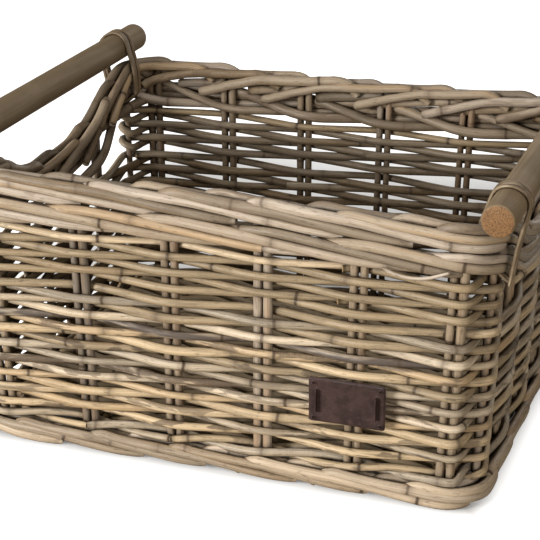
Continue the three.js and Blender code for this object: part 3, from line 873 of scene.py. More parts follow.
class MaterialShelf:
    """Makes each material once."""

    def __init__(self) -> None:
        """Make the shared groups."""
        self.bark = make_bark_group()
        self.made: dict[str, bpy.types.Material] = {}

    @staticmethod
    def start(name: str) -> tuple[bpy.types.Material, Nodes, bpy.types.Node]:
        """Start a material with one surface shader."""
        material = bpy.data.materials.new(name)
        material.use_nodes = True
        tree = material.node_tree
        return material, Nodes(tree), tree.nodes["Principled BSDF"]

    def rod(self, finish: RodFinish) -> bpy.types.Material:
        """Give the material of a kind of rattan, with painted shade in the gaps between rods."""
        if finish.name in self.made:
            return self.made[finish.name]
        material, n, surface = self.start(finish.name + "_bark")
        bark = n.add("ShaderNodeGroup", node_tree=self.bark)
        for label in BARK_SOCKETS["INPUT"]["Color"]:
            bark.inputs[label].default_value = (*getattr(finish, label.lower()), 1.0)
        bark.inputs["Peel"].default_value = finish.peel
        bark.inputs["Roughness"].default_value = finish.roughness
        # Painted shade: an ambient occlusion darkens the bark towards a dark brown in the gaps between rods.
        crevice = n.add("ShaderNodeAmbientOcclusion", samples=6)
        crevice.inputs["Distance"].default_value = 0.007
        painted_gap_shade = n.ramp(crevice.outputs["AO"], 0.15, 0.75, 0.85, 0.0)
        n.coat(surface, n.blend(painted_gap_shade, bark.outputs["Colour"], PAINTED_GAP_SHADE), bark.outputs["Roughness"], 0.32)
        n.relief(bark.outputs["Height"], 0.5, 0.0005, surface)
        self.made[finish.name] = material
        return material

    def wood(self, finish: WoodFinish) -> bpy.types.Material:
        """Give the poles' material: weathered grey-brown sides and pale sawn ends."""
        if "wood" in self.made:
            return self.made["wood"]
        material, n, surface = self.start("pole_wood_grain")
        place = n.object_place()
        grain = n.noise(n.scaled(place, (260.0, 9.0, 260.0)), 1.0, 6.0, 0.3)
        streak = n.noise(n.scaled(place, (900.0, 22.0, 900.0)), 1.0, 4.0)
        cloud = n.noise(n.scaled(place, (30.0, 16.0, 30.0)), 1.0, 4.0, 0.8)
        pit = n.noise(n.scaled(place, (500.0, 160.0, 500.0)), 1.0, 3.0)
        side = n.blend(n.ramp(cloud, 0.35, 0.68), finish.shade, finish.light)
        side = n.blend(n.ramp(grain, 0.45, 0.70, 0.0, 0.30), side, finish.vein)
        side = n.blend(n.ramp(streak, 0.5, 0.72, 0.0, 0.22), side, finish.streak)
        side = n.blend(n.ramp(pit, 0.64, 0.76, 0.0, 0.45), side, finish.pit)
        dots = n.ramp(n.cells(place, 620.0), 0.18, 0.42, 1.0, 0.0)
        face = n.blend(n.ramp(cloud, 0.4, 0.62), finish.sawn_shade, finish.sawn_light)
        face = n.blend(n.ramp(n.noise(place, 1500.0, 4.0), 0.45, 0.6), face, finish.crumb)
        face = n.blend(n.math("MULTIPLY", dots, 0.75), face, finish.pore)
        facing = n.parts(n.add("ShaderNodeNewGeometry").outputs["True Normal"])
        sawn = n.ramp(n.math("ABSOLUTE", facing[1]), 0.8, 0.96)
        n.coat(surface, n.blend(sawn, side, face), n.ramp(grain, 0.3, 0.7, 0.55, 0.78), 0.3)
        height = n.math("SUBTRACT", n.math("MULTIPLY", cloud, 0.8), n.math("MULTIPLY", grain, 0.9))
        height = n.math("SUBTRACT", height, n.math("MULTIPLY", n.math("MULTIPLY", dots, sawn), 0.5))
        n.relief(height, 0.55, 0.0008, surface)
        self.made["wood"] = material
        return material

    def leather(self, finish: LeatherFinish) -> bpy.types.Material:
        """Give the tag's material: dark brown grained leather."""
        material, n, surface = self.start("dark_leather_grain")
        place = n.object_place()
        pebble = n.cells(place, 950.0, "SMOOTH_F1")
        cloud = n.noise(place, 85.0, 4.0, 0.5)
        crease = n.noise(n.scaled(place, (240.0, 240.0, 420.0)), 1.0, 5.0, 1.0)
        colour = n.blend(n.ramp(cloud, 0.38, 0.66), finish.shade, finish.light)
        colour = n.blend(n.ramp(crease, 0.55, 0.72, 0.0, 0.5), colour, finish.crease)
        n.coat(surface, colour, n.ramp(cloud, 0.3, 0.7, 0.42, 0.58), 0.3)
        height = n.math("SUBTRACT", n.math("MULTIPLY", crease, 0.5), n.math("MULTIPLY", pebble, 0.6))
        n.relief(height, 0.4, 0.0004, surface)
        return material


@dataclass(frozen=True)
class PoleSizes:
    """Sizes of the poles, in metres."""

    radius: float = 0.0112
    length: float = 0.357
    x: float = 0.1984
    z: float = 0.2232
    edge: float = 0.0018
    edge_steps: int = 3
    rings: int = 60
    around: int = 48


@dataclass
class Workshop:
    """What every sub-assembly needs: the plan, the sizes, the bench and the materials."""

    plan: WallPlan
    poles: PoleSizes
    bench: RodBench
    shelf: MaterialShelf
    lift: Wobble
    rng: random.Random

    def place(self, piece: bpy.types.Object, material: bpy.types.Material, slot: str, *nodes: str) -> None:
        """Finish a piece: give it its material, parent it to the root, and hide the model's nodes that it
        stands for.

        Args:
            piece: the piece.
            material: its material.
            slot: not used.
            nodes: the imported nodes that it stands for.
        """
        piece.data.materials.clear()
        piece.data.materials.append(material)
        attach(piece, "root")
        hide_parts(*nodes)
        log.info("%s: %d vertices, stands for %s", piece.name, len(piece.data.vertices), ", ".join(nodes))

    def place_rods(self, name: str, rods: Sequence[Rod], finish: RodFinish) -> None:
        """Sweep rods into the piece that stands for one node."""
        piece = self.bench.mesh(name + "_rods", rods)
        self.place(piece, self.shelf.rod(finish), finish.slot, name)


@dataclass
class SubAssembly:
    """A part of the basket, with the plan, the sizes, the bench and the poles at hand."""

    shop: Workshop

    def __post_init__(self) -> None:
        """Take what is at hand from the workshop."""
        self.plan, self.bench, self.poles = self.shop.plan, self.shop.bench, self.shop.poles
        self.sizes = self.plan.sizes


@dataclass
class WallWeaving(SubAssembly):
    """The two weavers that chase each other up the walls, and the short rows above them."""

    rod_radius: float = 0.0030
    # The x and z where the weathered rod shows on the front wall.
    dark_spot: tuple[float, float] = (0.140, 0.110)
    # The height up to which rows wander, the height over which the wander fades in and out, and
    # about how far it is round the walls.
    wander_top: float = 0.150
    wander_fade: float = 0.05
    way_round: float = 1.4
    # Where one rod gives way to the next: how far they lie side by side, and how its end tucks in.
    overlap: float = 0.012
    tuck_length: float = 0.030
    tuck: float = 0.0056
    # The fewest points of a rod, the lengths of the first and the next rods, and how far from
    # there the place inside the wall may lie.
    fewest: int = 8
    first_length: tuple[float, float] = (0.5, 1.2)
    next_length: tuple[float, float] = (0.8, 1.7)
    search: float = 0.06
    spiral_bend: float = 0.016
    row_bend: float = 0.014
    # Stakes from one corner of a long wall to the next, counting the far one.
    stakes_across: int = 7

    def darken(self, rods: Sequence[Rod]) -> None:
        """Make the rod that passes nearest the dark spot the weathered one."""
        x, z = self.dark_spot
        spot = np.array([x, self.plan.bow(x, z) - self.plan.half_y(z), z])
        nearest = min(rods, key=lambda rod: np.linalg.norm(rod.line - spot, axis=1).min())
        nearest.tone = WEATHERED

    def wander(self, line: np.ndarray) -> np.ndarray:
        """Let rows rise and fall together, less near the wales."""
        sizes, z = self.sizes, line[:, 2]
        around = np.arctan2(line[:, 1] / sizes.rim_depth, line[:, 0] / sizes.rim_width) / TAU
        low = np.clip((z - sizes.foot_wale_z) / self.wander_fade, 0.0, 1.0)
        high = np.clip((self.wander_top - z) / self.wander_fade, 0.0, 1.0)
        moved = line.copy()
        moved[:, 2] += self.shop.lift.at(around * self.way_round, z) * low * high
        return moved

    def cut_up(self, line: np.ndarray, stops: Sequence[int]) -> list[Rod]:
        """Cut a long path into rods whose ends lie side by side inside the wall.

        Args:
            line: the path's points, evenly spaced.
            stops: the numbers of the points where one rod gives way to the next.

        Returns:
            The rods.
        """
        across = np.cross(UP, np.gradient(line, axis=0))
        inward = across / np.linalg.norm(across, axis=1)[:, None]
        overlap = int(self.overlap / self.bench.step)
        ease_in = int(self.tuck_length / self.bench.step)
        rods = []
        bounds = [0, *stops, len(line) - 1]
        for start, end in zip(bounds, bounds[1:]):
            first, last = max(start - overlap, 0), min(end + overlap, len(line) - 1)
            part = line[first:last + 1].copy()
            if last < len(line) - 1:
                share = np.clip((np.arange(len(part)) - (len(part) - 1 - ease_in)) / ease_in, 0.0, 1.0)
                part += inward[first:last + 1] * (share ** 2 * self.tuck)[:, None]
            if len(part) > self.fewest:
                rods.append(self.bench.new_rod(part, self.rod_radius, even=True))
        return rods

    def stops(self, line: np.ndarray, own: random.Random) -> list[int]:
        """Choose where the rods of a path end: somewhere that the path runs inside the wall."""
        sizes, step = self.sizes, self.bench.step
        run, chosen = own.uniform(*self.first_length), []
        reach = int(self.search / step)
        while run / step < len(line) - 4 * reach:
            near = int(run / step)
            window = np.abs(line[near - reach:near + reach])
            out = np.maximum(window[:, 0] / sizes.rim_width, window[:, 1] / sizes.rim_depth)
            chosen.append(near - reach + int(np.argmin(out)))
            run += own.uniform(*self.next_length)
        return chosen

    def rods(self, corners: Sequence[np.ndarray], bend: float, seed: int) -> list[Rod]:
        """Turn the corners of a weaver's path into the rods that it is pieced from.

        Args:
            corners: the corners.
            bend: how far from each corner its rounding starts.
            seed: the seed of the rods' lengths.

        Returns:
            The rods.
        """
        line = self.bench.resample(self.wander(self.bench.smooth(corners, bend)))
        return self.cut_up(line, self.stops(line, random.Random(seed)))

    def chasing(self, name: str, phase: int, start_share: float) -> None:
        """Weave one of the two spiral weavers."""
        plan, sizes = self.plan, self.sizes
        shares = [bend.share for bend in plan.turn_of_weaving(phase, sizes.first_row_z)]
        corners = []
        for turn in range(int(sizes.wall_turns) + 2):
            for k, share in enumerate(shares):
                progress = turn + share - start_share
                if 0 <= progress <= sizes.wall_turns:
                    z = sizes.first_row_z + 2 * sizes.row_pitch * progress
                    bend = plan.turn_of_weaving(phase, z)[k]
                    corners.append(np.array([bend.x, bend.y, z]))
        rods = self.rods(corners, self.spiral_bend, seed=40 + phase)
        if phase == 0:
            self.darken(rods)
        self.shop.place_rods(name, rods, WEAVER)

    def row_z(self, row: int) -> float:
        """Give the height of a short row."""
        sizes = self.sizes
        return sizes.first_row_z + 2 * sizes.row_pitch * sizes.wall_turns + (row + 1) * sizes.row_pitch

    def turn(self, index: int, row: int, facing: int, share: float) -> np.ndarray:
        """Give a point on the half turn that a short row makes round its last stake.

        Args:
            index: the stake's number.
            row: the row's number.
            facing: 1 at the wall's far end and -1 at its near end.
            share: the share of the half turn.

        Returns:
            The point.
        """
        sizes = self.sizes
        stake = self.plan.stakes[index % len(self.plan.stakes)]
        reach = sizes.peg_radius / math.cos(math.pi / 6)
        along = (0.0 if stake.single else sizes.pair_spacing / 2) + reach * math.sin(share * math.pi)
        out = Side.of(index + row).value * reach * math.cos(share * math.pi)
        return self.plan.stake_point(stake, self.row_z(row), facing * along, out)

    def to_and_fro(self, name: str, first_index: int) -> None:
        """Weave the short rows above the spiral on one long wall."""
        plan, sizes = self.plan, self.sizes
        beside = plan.stake_point(plan.stakes[(first_index - 1) % len(plan.stakes)], sizes.rim_height)
        room = plan.rim_top(beside[0], beside[1]) - sizes.rim_band_drop - sizes.weaver_radius
        corners = []
        for row in range(sizes.upper_rows):
            z, forward, is_last = self.row_z(row), row % 2 == 0, row == sizes.upper_rows - 1
            start, end = int(room > z), int(room > self.row_z(row if is_last else row + 1))
            left = first_index - (start if forward else end)
            right = first_index + self.stakes_across + (end if forward else start)
            pegs = [peg for index in range(left, right + 1)
                    for peg in plan.pegs(index, Side.of(index + row), z)]
            ends = [self.turn(left, row, -1, 1 / 6), self.turn(right, row, 1, 1 / 6)]
            first, last = (Peg(point[0], point[1], 0.0, Side.OUTSIDE, 1, 0) for point in ends)
            run = [np.array([bend.x, bend.y, z]) for bend in plan.draw_tight([first, *pegs, last], False)]
            corners.extend(run if forward else run[::-1])
            if not is_last:
                tip = self.turn(right, row, 1, 0.5) if forward else self.turn(left, row, -1, 0.5)
                tip[2] = z + sizes.row_pitch / 2
                corners.append(tip)
        self.shop.place_rods(name, self.rods(corners, self.row_bend, seed=60 + first_index), WEAVER)

    def build(self) -> None:
        """Weave the walls."""
        self.chasing("wall_weaver_1", 0, 0.0)
        self.chasing("wall_weaver_2", 1, 0.5)
        self.to_and_fro("front_upper_weaver", -1)
        self.to_and_fro("back_upper_weaver", len(self.plan.stakes) // 2 - 1)


@dataclass
class Wales(SubAssembly):
    """The pair of rods twisted round the stakes at the foot, and the band of four under the rim."""

    # How far a foot rod rises or falls where the two cross.
    cross_lift: float = 0.0034
    foot_bend: float = 0.015
    band_bend: float = 0.020
    strip_bend: float = 0.006
    # Where the pieces of a rod meet: points past each third of its way, and more for each next rod.
    foot_joins: tuple[tuple[int, int], ...] = ((0, 20), (15, 0))
    band_joins: tuple[tuple[int, int], ...] = ((0, 25), (0, 18))
    # A band rod goes inside at every fourth stake, and repeats its turn at two stakes.
    band_turns: int = 4
    band_start: int = 6
    band_held: tuple[int, int] = (8, 19)
    # Its level where it passes inside, how far it is pushed out and differs in height outside, and
    # how near its end comes to its start.
    band_inner_level: float = 2.2
    band_push: tuple[float, float] = (0.0003, 0.0010)
    band_play: float = 0.0006
    band_closing: float = 0.99
    # The x and z of the corners of the strip that hangs loose under the band.
    strip: tuple[tuple[float, float], ...] = (
        (0.121, 0.1772), (0.128, 0.1738), (0.139, 0.1722), (0.151, 0.1736), (0.166, 0.1800))
    strip_radius: float = 0.0012
    strip_tone: float = 0.9
    strip_seed: float = 4.0

    @staticmethod
    def joins(line: np.ndarray, shifts: Sequence[tuple[int, int]], phase: int) -> list[int]:
        """Give the numbers of the points where a rod's three pieces meet."""
        return [(k + 1) * len(line) // 3 + shift + step * phase for k, (shift, step) in enumerate(shifts)]

    def foot_rod(self, name: str, phase: int) -> None:
        """Twist one rod of the foot wale round the stakes.

        Args:
            name: the node that it stands for.
            phase: 0 or 1, which of the two rods.
        """
        z = self.sizes.foot_wale_z
        bends = self.plan.turn_of_weaving(phase, z)
        corners = []
        for here, after in zip(bends, bends[1:] + bends[:1]):
            corners.append(np.array([here.x, here.y, z]))
            if after.stake != here.stake:
                lift = Side.of(here.stake + phase).value * self.cross_lift
                corners.append(np.array([(here.x + after.x) / 2, (here.y + after.y) / 2, z + lift]))
        start = next(i for i, bend in enumerate(bends) if Side.of(bend.stake + phase) is Side.INSIDE) + 3
        line = self.bench.smooth(corners[start:] + corners[:start + 1], self.foot_bend)
        stops = self.joins(line, self.foot_joins, phase)
        self.shop.place_rods(name, self.bench.cut(line, stops, self.sizes.weaver_radius), WEAVER)

    def band_place(self, stake: Stake, drop: float, out: float) -> np.ndarray:
        """Give the place of a band rod at a stake, a given way below the rim's top."""
        above = self.plan.stake_point(stake, self.sizes.rim_height)
        return self.plan.stake_point(stake, self.plan.rim_top(above[0], above[1]) - drop, 0.0, out)

    def band_rod(self, name: str, phase: int) -> None:
        """Lay a rod of the band under the rim: outside three stakes, lower at each, then inside one.

        Args:
            name: the node that it stands for.
            phase: 0 to 3, which of the four rods.
        """
        stakes, sizes, rng = self.plan.stakes, self.sizes, self.shop.rng
        count = len(stakes)
        turns = [(i - sum(i >= held for held in self.band_held) - phase) % self.band_turns
                 for i in range(count)]
        inner = self.band_turns - 1
        start = turns.index(inner, self.band_start)
        corners, was_out = [], False
        for i in range(start, start + count + 1):
            turn, stake = turns[i % count], stakes[i % count]
            is_out = turn < inner
            drop = sizes.rim_band_first + sizes.rim_band_step * (turn if is_out else self.band_inner_level)
            out = sizes.weave_reach + rng.uniform(*self.band_push) if is_out else -sizes.weave_reach
            here = self.band_place(stake, drop + rng.uniform(-self.band_play, self.band_play), out)
            if is_out and was_out and stake.wall is not stakes[(i - 1) % count].wall:
                corners.append(self.round_corner(corners[-1], here, out))
            corners.append(here)
            was_out = is_out
        corners[-1] = self.band_closing * corners[0] + (1 - self.band_closing) * corners[-2]
        line = self.bench.smooth(corners, self.band_bend)
        stops = self.joins(line, self.band_joins, phase)
        rods = self.bench.cut(line, stops, sizes.rim_band_radius)
        if phase == 0:
            rods.append(self.loose_strip())
        self.shop.place_rods(name, rods, BORDER)

    def loose_strip(self) -> Rod:
        """Give the thin strip that hangs loose under the band on the front wall."""
        plan = self.plan
        reach = self.sizes.wall_half + self.strip_radius
        corners = [np.array([x, plan.bow(x, z) - plan.half_y(z) - reach, z]) for x, z in self.strip]
        line = self.bench.smooth(corners, self.strip_bend)
        return Rod(line, self.strip_radius, self.strip_tone, self.strip_seed)

    def round_corner(self, before: np.ndarray, after: np.ndarray, out: float) -> np.ndarray:
        """Give the point where a rod swings round a rounded corner of the basket."""
        z = (before[2] + after[2]) / 2
        reach = Borders.corner * (math.sqrt(0.5) - 1.0) + out * math.sqrt(0.5)
        x, y = self.plan.half_x(z) + reach, self.plan.half_y(z) + reach
        return np.array([math.copysign(x, before[0] + after[0]), math.copysign(y, before[1] + after[1]), z])

    def build(self) -> None:
        """Twist the foot wale and lay the band under the rim."""
        for phase in (0, 1):
            self.foot_rod(f"foot_wale_rod_{phase + 1}", phase)
        for phase in range(self.band_turns):
            self.band_rod(f"rim_wale_rod_{phase + 1}", phase)


@dataclass(frozen=True)
class BorderForm:
    """How one border is laid: lengths are in metres, and places along it in stake pitches."""

    node: str
    radius: float
    flare: float
    first_drop: float
    drop_per_pitch: float
    length: float
    spread: float
    tuck: float
    inner_length: float
    end_dip: float
    recede: float
    finish: RodFinish


RIM = BorderForm(node="rim", radius=0.0037, flare=0.0, first_drop=0.0030, drop_per_pitch=0.0063,
                 length=3.10, spread=0.0054, tuck=-0.004, inner_length=2.15,
                 end_dip=0.0100, recede=0.0007, finish=BORDER)
FOOT = BorderForm(node="foot", radius=0.0035, flare=0.0050, first_drop=0.0028, drop_per_pitch=0.0054,
                  length=2.75, spread=0.0046, tuck=-0.005, inner_length=2.3,
                  end_dip=0.0, recede=0.0006, finish=FOOT_BORDER_PAINTED_LIGHT)


@dataclass
class Borders(SubAssembly):
    """The rim and foot borders: each stake lays one rod down outside and one inside."""

    # The radius of the corners in plan, the points in a corner and in a long and a short side, and
    # where a side's points start, as a share of half its length.
    corner: float = 0.025
    corner_steps: int = 12
    long_steps: int = 40
    short_steps: int = 32
    side_start: float = -0.95
    # The height of the foot border's top.
    foot_top: float = 0.0222
    # The pieces that a border is handed over as, the points in a rod's path, how far from each the
    # path is rounded, and how many points of the top line away its direction is taken.
    pieces: int = 4
    path_steps: int = 22
    bend: float = 0.006
    look_around: int = 3
    # How much the rods of one border differ.
    length_play: tuple[float, float] = (-0.18, 0.10)
    start_play: float = 0.08
    lift_play: float = 0.0006
    push_play: tuple[float, float] = (-0.0004, 0.0006)
    # A rod rises over its first stretch, and its last stretch tucks in or, on the inside, falls.
    rise: float = 0.30
    rise_drop: float = 0.0125
    tuck: float = 0.45
    fall: float = 0.85
    fall_out: float = 0.0050
    sag: float = 0.0010
    # How far a rod sinks in, in radii; where it starts to drop; and the least height of its middle.
    sunk: float = 0.25
    level: float = 0.25
    lowest: float = 1.12
    # The shares of its spread that it has at once, when it has risen, and a pitch further on.
    spread_shares: tuple[float, float, float] = (0.15, 0.55, 0.3)

    def axis(self, plan_height: float, flare: float, top_at: Callable[[float, float], float]) -> np.ndarray:
        """Trace the top of a border once round the basket.

        Args:
            plan_height: the height whose plan it follows.
            flare: how far outside the wall it runs.
            top_at: gives the border's top at a place in plan.

        Returns:
            Evenly spaced points, anticlockwise from the front left corner.
        """
        plan, r, steps = self.plan, self.corner, self.corner_steps
        x, y = plan.half_x(plan_height) + flare, plan.half_y(plan_height) + flare
        outline = [(-(x - r), -y)]
        for turn, (sx, sy) in enumerate(((1, -1), (1, 1), (-1, 1), (-1, -1))):
            if turn % 2 == 0:
                places = np.linspace(self.side_start, 1.0, self.long_steps)
                outline.extend((t * (x - r) * sx, sy * y) for t in places)
            else:
                places = np.linspace(self.side_start, 1.0, self.short_steps)
                outline.extend((sx * x, t * (y - r) * sy) for t in places)
            for k in range(1, steps + 1):
                angle = -math.pi / 2 + (turn + k / steps) * math.pi / 2
                outline.append((sx * (x - r) + r * math.cos(angle), sy * (y - r) + r * math.sin(angle)))
        points = []
        for px, py in outline:
            if abs(py) > y - r:
                py -= math.copysign(plan.bow(px, plan_height), py)
            points.append(np.array([px, py, top_at(px, py)]))
        return self.bench.resample(np.array(points))

    def lay(self, axis: np.ndarray, form: BorderForm, stake: int, face: Side) -> np.ndarray:
        """Lay one rod along the border from one stake on.

        Args:
            axis: the border's top line, closed.
            form: how the border is laid.
            stake: the number of the stake that it rises from.
            face: the face of the border that it lies on.

        Returns:
            The corners of the rod's path.
        """
        rng, count, is_outer = self.shop.rng, len(axis), face is Side.OUTSIDE
        pitch = count / len(self.plan.stakes)
        length = (form.length if is_outer else form.inner_length) + rng.uniform(*self.length_play)
        behind = 0.0 if is_outer else 0.5
        start = (stake + behind + rng.uniform(-self.start_play, self.start_play)) * pitch
        lift, push = rng.uniform(-self.lift_play, self.lift_play), rng.uniform(*self.push_play)
        at_once, risen, later = self.spread_shares
        corners = []
        for s in np.linspace(0.0, length, self.path_steps):
            i = int(start + s * pitch) % count
            tangent = axis[(i + self.look_around) % count] - axis[(i - self.look_around) % count]
            outward = np.array([tangent[1], -tangent[0], 0.0])
            outward /= np.linalg.norm(outward)
            rise = min(s / self.rise, 1.0)
            drop = form.first_drop + form.radius * self.sunk + form.drop_per_pitch * max(s - self.level, 0.0)
            drop += (1 - rise) ** 2 * self.rise_drop + self.sag * math.sin(math.pi * min(s, 2.0))
            out = form.spread * (at_once + risen * rise + later * min(s, 1.0)) + push
            out -= form.recede * max(s - 1.0, 0.0)
            if is_outer:
                out += form.tuck * max(0.0, (s - (length - self.tuck)) / self.tuck) ** 2
            else:
                fall = max(s - (length - self.fall), 0.0)
                out += self.fall_out * fall
                drop += form.end_dip * fall
            point = axis[i] + outward * out * face.value + UP * (lift - drop)
            point[2] = max(point[2], self.lowest * form.radius)
            corners.append(point)
        return np.array(corners)

    def border(self, form: BorderForm, axis: np.ndarray) -> None:
        """Lay a whole border and hand it over as four pieces.

        Args:
            form: how it is laid.
            axis: the border's top line.
        """
        shares: list[list[Rod]] = [[] for _ in range(self.pieces)]
        for stake in range(len(self.plan.stakes)):
            for face in Side:
                line = self.bench.ease(self.lay(axis, form, stake, face), self.bend)
                shares[stake % self.pieces].append(self.bench.new_rod(line, form.radius))
        for k, rods in enumerate(shares):
            self.shop.place_rods(f"{form.node}_border_rod_{k + 1}", rods, form.finish)

    def build(self) -> None:
        """Lay the rim and the foot."""
        self.border(RIM, self.axis(self.sizes.rim_height, RIM.flare, self.plan.rim_top))
        self.border(FOOT, self.axis(0.0, FOOT.flare, lambda x, y: self.foot_top))


@dataclass
class Stakes(SubAssembly):
    """The upright rods: pairs bent double at the foot, and one rod in each corner."""

    # The heights of a pair's bend, of a single rod's foot and of two points on the way up, and how
    # far the tops lie below the rim.
    foot: float = 0.0187
    single_foot: float = 0.0167
    middle: tuple[float, float] = (0.07, 0.13)
    top_drop: float = 0.0120
    bend: float = 0.003

    def path(self, stake: Stake) -> list[np.ndarray]:
        """Give the corners of a stake's path."""
        plan, half = self.plan, self.sizes.pair_spacing / 2

        def top(along: float) -> float:
            """Give the height of a rod's top."""
            there = plan.stake_point(stake, self.sizes.rim_height, along)
            return plan.rim_top(there[0], there[1]) - self.top_drop

        if stake.single:
            return [plan.stake_point(stake, z) for z in (self.single_foot, *self.middle, top(0.0))]
        heights = (*self.middle, min(top(-half), top(half)))
        bend = [plan.stake_point(stake, self.foot + half - half * math.sin(a), -half * math.cos(a))
                for a in HAIRPIN]
        return [*[plan.stake_point(stake, z, -half) for z in heights[::-1]], *bend,
                *[plan.stake_point(stake, z, half) for z in heights]]

    def build(self) -> None:
        """Set every stake."""
        counts: dict[str, int] = {}
        for stake in self.plan.stakes:
            kind = "corner" if stake.single else stake.wall.name.lower()
            counts[kind] = counts.get(kind, 0) + 1
            rod = self.bench.new_rod(self.bench.ease(self.path(stake), self.bend), self.sizes.stake_radius)
            self.shop.place_rods(f"{kind}_stake_{counts[kind]}", [rod], STAKE)


@dataclass
class BaseWeaving(SubAssembly):
    """The base: doubled rods from front to back and one weaver to and fro across them."""

    pairs: int = 6
    pair_pitch: float = 0.0634
    row_pitch: float = 0.0070
    weaver_radius: float = 0.0031
    rod_bend: float = 0.0015
    weaver_bend: float = 0.010
    # How far the base lies above the foot wale's middle, how far apart its rods and the walls stay,
    # and how much further the weaver swings.
    rise: float = 0.0001
    clearance: float = 0.0003
    swing: float = 0.0001

    def __post_init__(self) -> None:
        """Find the base's height and how far it reaches from its middle."""
        super().__post_init__()
        self.z = self.sizes.foot_wale_z + self.rise
        middle = self.plan.half_y(self.z) - self.plan.bow(0.0, self.z)
        self.reach = middle - self.sizes.wall_half - self.clearance

    def pair_x(self, index: int) -> float:
        """Give the place of a pair across the base."""
        return (index - (self.pairs - 1) / 2) * self.pair_pitch

    def build(self) -> None:
        """Lay the rods and weave across them."""
        half = self.sizes.pair_spacing / 2
        bend_y = self.reach - half - self.sizes.stake_radius
        for index in range(self.pairs):
            x = self.pair_x(index)
            bend = [np.array([x - half * math.cos(a), bend_y + half * math.sin(a), self.z])
                    for a in HAIRPIN]
            ends = [np.array([x + side * half, -self.reach, self.z]) for side in (-1, 1)]
            line = self.bench.ease([ends[0], *bend, ends[1]], self.rod_bend)
            rod = self.bench.new_rod(line, self.sizes.stake_radius)
            self.shop.place_rods(f"base_rod_{index + 1}", [rod], BASE)
        self.weave()

    def weave(self) -> None:
        """Weave the one long weaver."""
        sizes, last = self.sizes, self.pairs - 1
        peg = sizes.stake_radius + self.weaver_radius + self.clearance
        lift = peg / (1 - sizes.pair_spacing / self.pair_pitch) + self.swing
        turn = peg / math.cos(math.pi / 6)
        outer = self.pair_x(last) + sizes.pair_spacing / 2
        rows = int(2 * (self.reach - self.weaver_radius) / self.row_pitch) + 1
        corners = []
        for row in range(rows):
            y = (row - (rows - 1) / 2) * self.row_pitch
            facing = 1 if row % 2 == 0 else -1
            ends = {d: np.array([d * (outer + turn / 2), y,
                                 self.z + Side.of((last if d > 0 else 0) + row).value * peg])
                    for d in (-1, 1)}
            if row:
                corners.append(ends[-facing])
            corners.extend(np.array([self.pair_x(i), y, self.z + Side.of(i + row).value * lift])
                           for i in range(self.pairs)[::facing])
            if row < rows - 1:
                corners.append(ends[facing])
                corners.append(np.array([facing * (outer + turn), y + self.row_pitch / 2, self.z]))
        line = self.bench.ease(corners, self.weaver_bend)
        self.shop.place_rods("base_weaver", [self.bench.new_rod(line, self.weaver_radius)], BASE)


@dataclass
class Poles(SubAssembly):
    """The two wooden poles over the end walls."""

    # The unevenness of a pole: each wave's size, its turns round the pole, its rate along it in
    # radians in a metre, and how far it moves from one pole to the other.
    waves: tuple[tuple[float, int, int, int], ...] = (
        (0.004, 0, 38, 1), (0.003, 2, 17, 0), (0.002, 5, 29, 1))

    def pole(self, name: str, side: int) -> None:
        """Turn one pole: a circle drawn out ring by ring, capped and rounded at its ends."""
        poles = self.poles
        bpy.ops.object.select_all(action="DESELECT")
        bpy.ops.mesh.primitive_circle_add(vertices=poles.around, radius=poles.radius, fill_type="NOTHING",
                                          rotation=(math.pi / 2, 0, 0), location=(0, 0, 0))
        piece = bpy.context.object
        piece.name = name + "_wood"
        bpy.ops.object.transform_apply(location=True, rotation=True, scale=True)
        bpy.ops.object.mode_set(mode="EDIT")
        bpy.ops.mesh.select_all(action="SELECT")
        bpy.ops.mesh.edge_face_add()
        step = {"value": (0, poles.length / poles.rings, 0)}
        for _ in range(poles.rings):
            bpy.ops.mesh.extrude_region_move(TRANSFORM_OT_translate=step)
        bpy.ops.mesh.select_all(action="SELECT")
        bpy.ops.mesh.normals_make_consistent(inside=False)
        bpy.ops.object.mode_set(mode="OBJECT")
        bevel = piece.modifiers.new("edge", "BEVEL")
        bevel.width, bevel.segments = poles.edge, poles.edge_steps
        bevel.limit_method, bevel.angle_limit = "ANGLE", 1.0
        bpy.ops.object.modifier_apply(modifier=bevel.name)
        places = np.array([v.co for v in piece.data.vertices])
        places[:, 1] -= poles.length / 2
        around = np.arctan2(places[:, 2], places[:, 0])
        swell = 1 + sum(size * np.sin(turns * around + places[:, 1] * rate + shift * side)
                        for size, turns, rate, shift in self.waves)
        places[:, 0] *= swell
        places[:, 2] *= swell
        places += np.array([side * poles.x, 0.0, poles.z])
        piece.data.vertices.foreach_set("co", places.astype(np.float32).ravel())
        bpy.ops.object.shade_smooth_by_angle(angle=math.radians(40))
        self.shop.place(piece, self.shop.shelf.wood(WoodFinish()), "pole_wood", name)

    def build(self) -> None:
        """Turn both poles."""
        self.pole("pole_left", -1)
        self.pole("pole_right", 1)


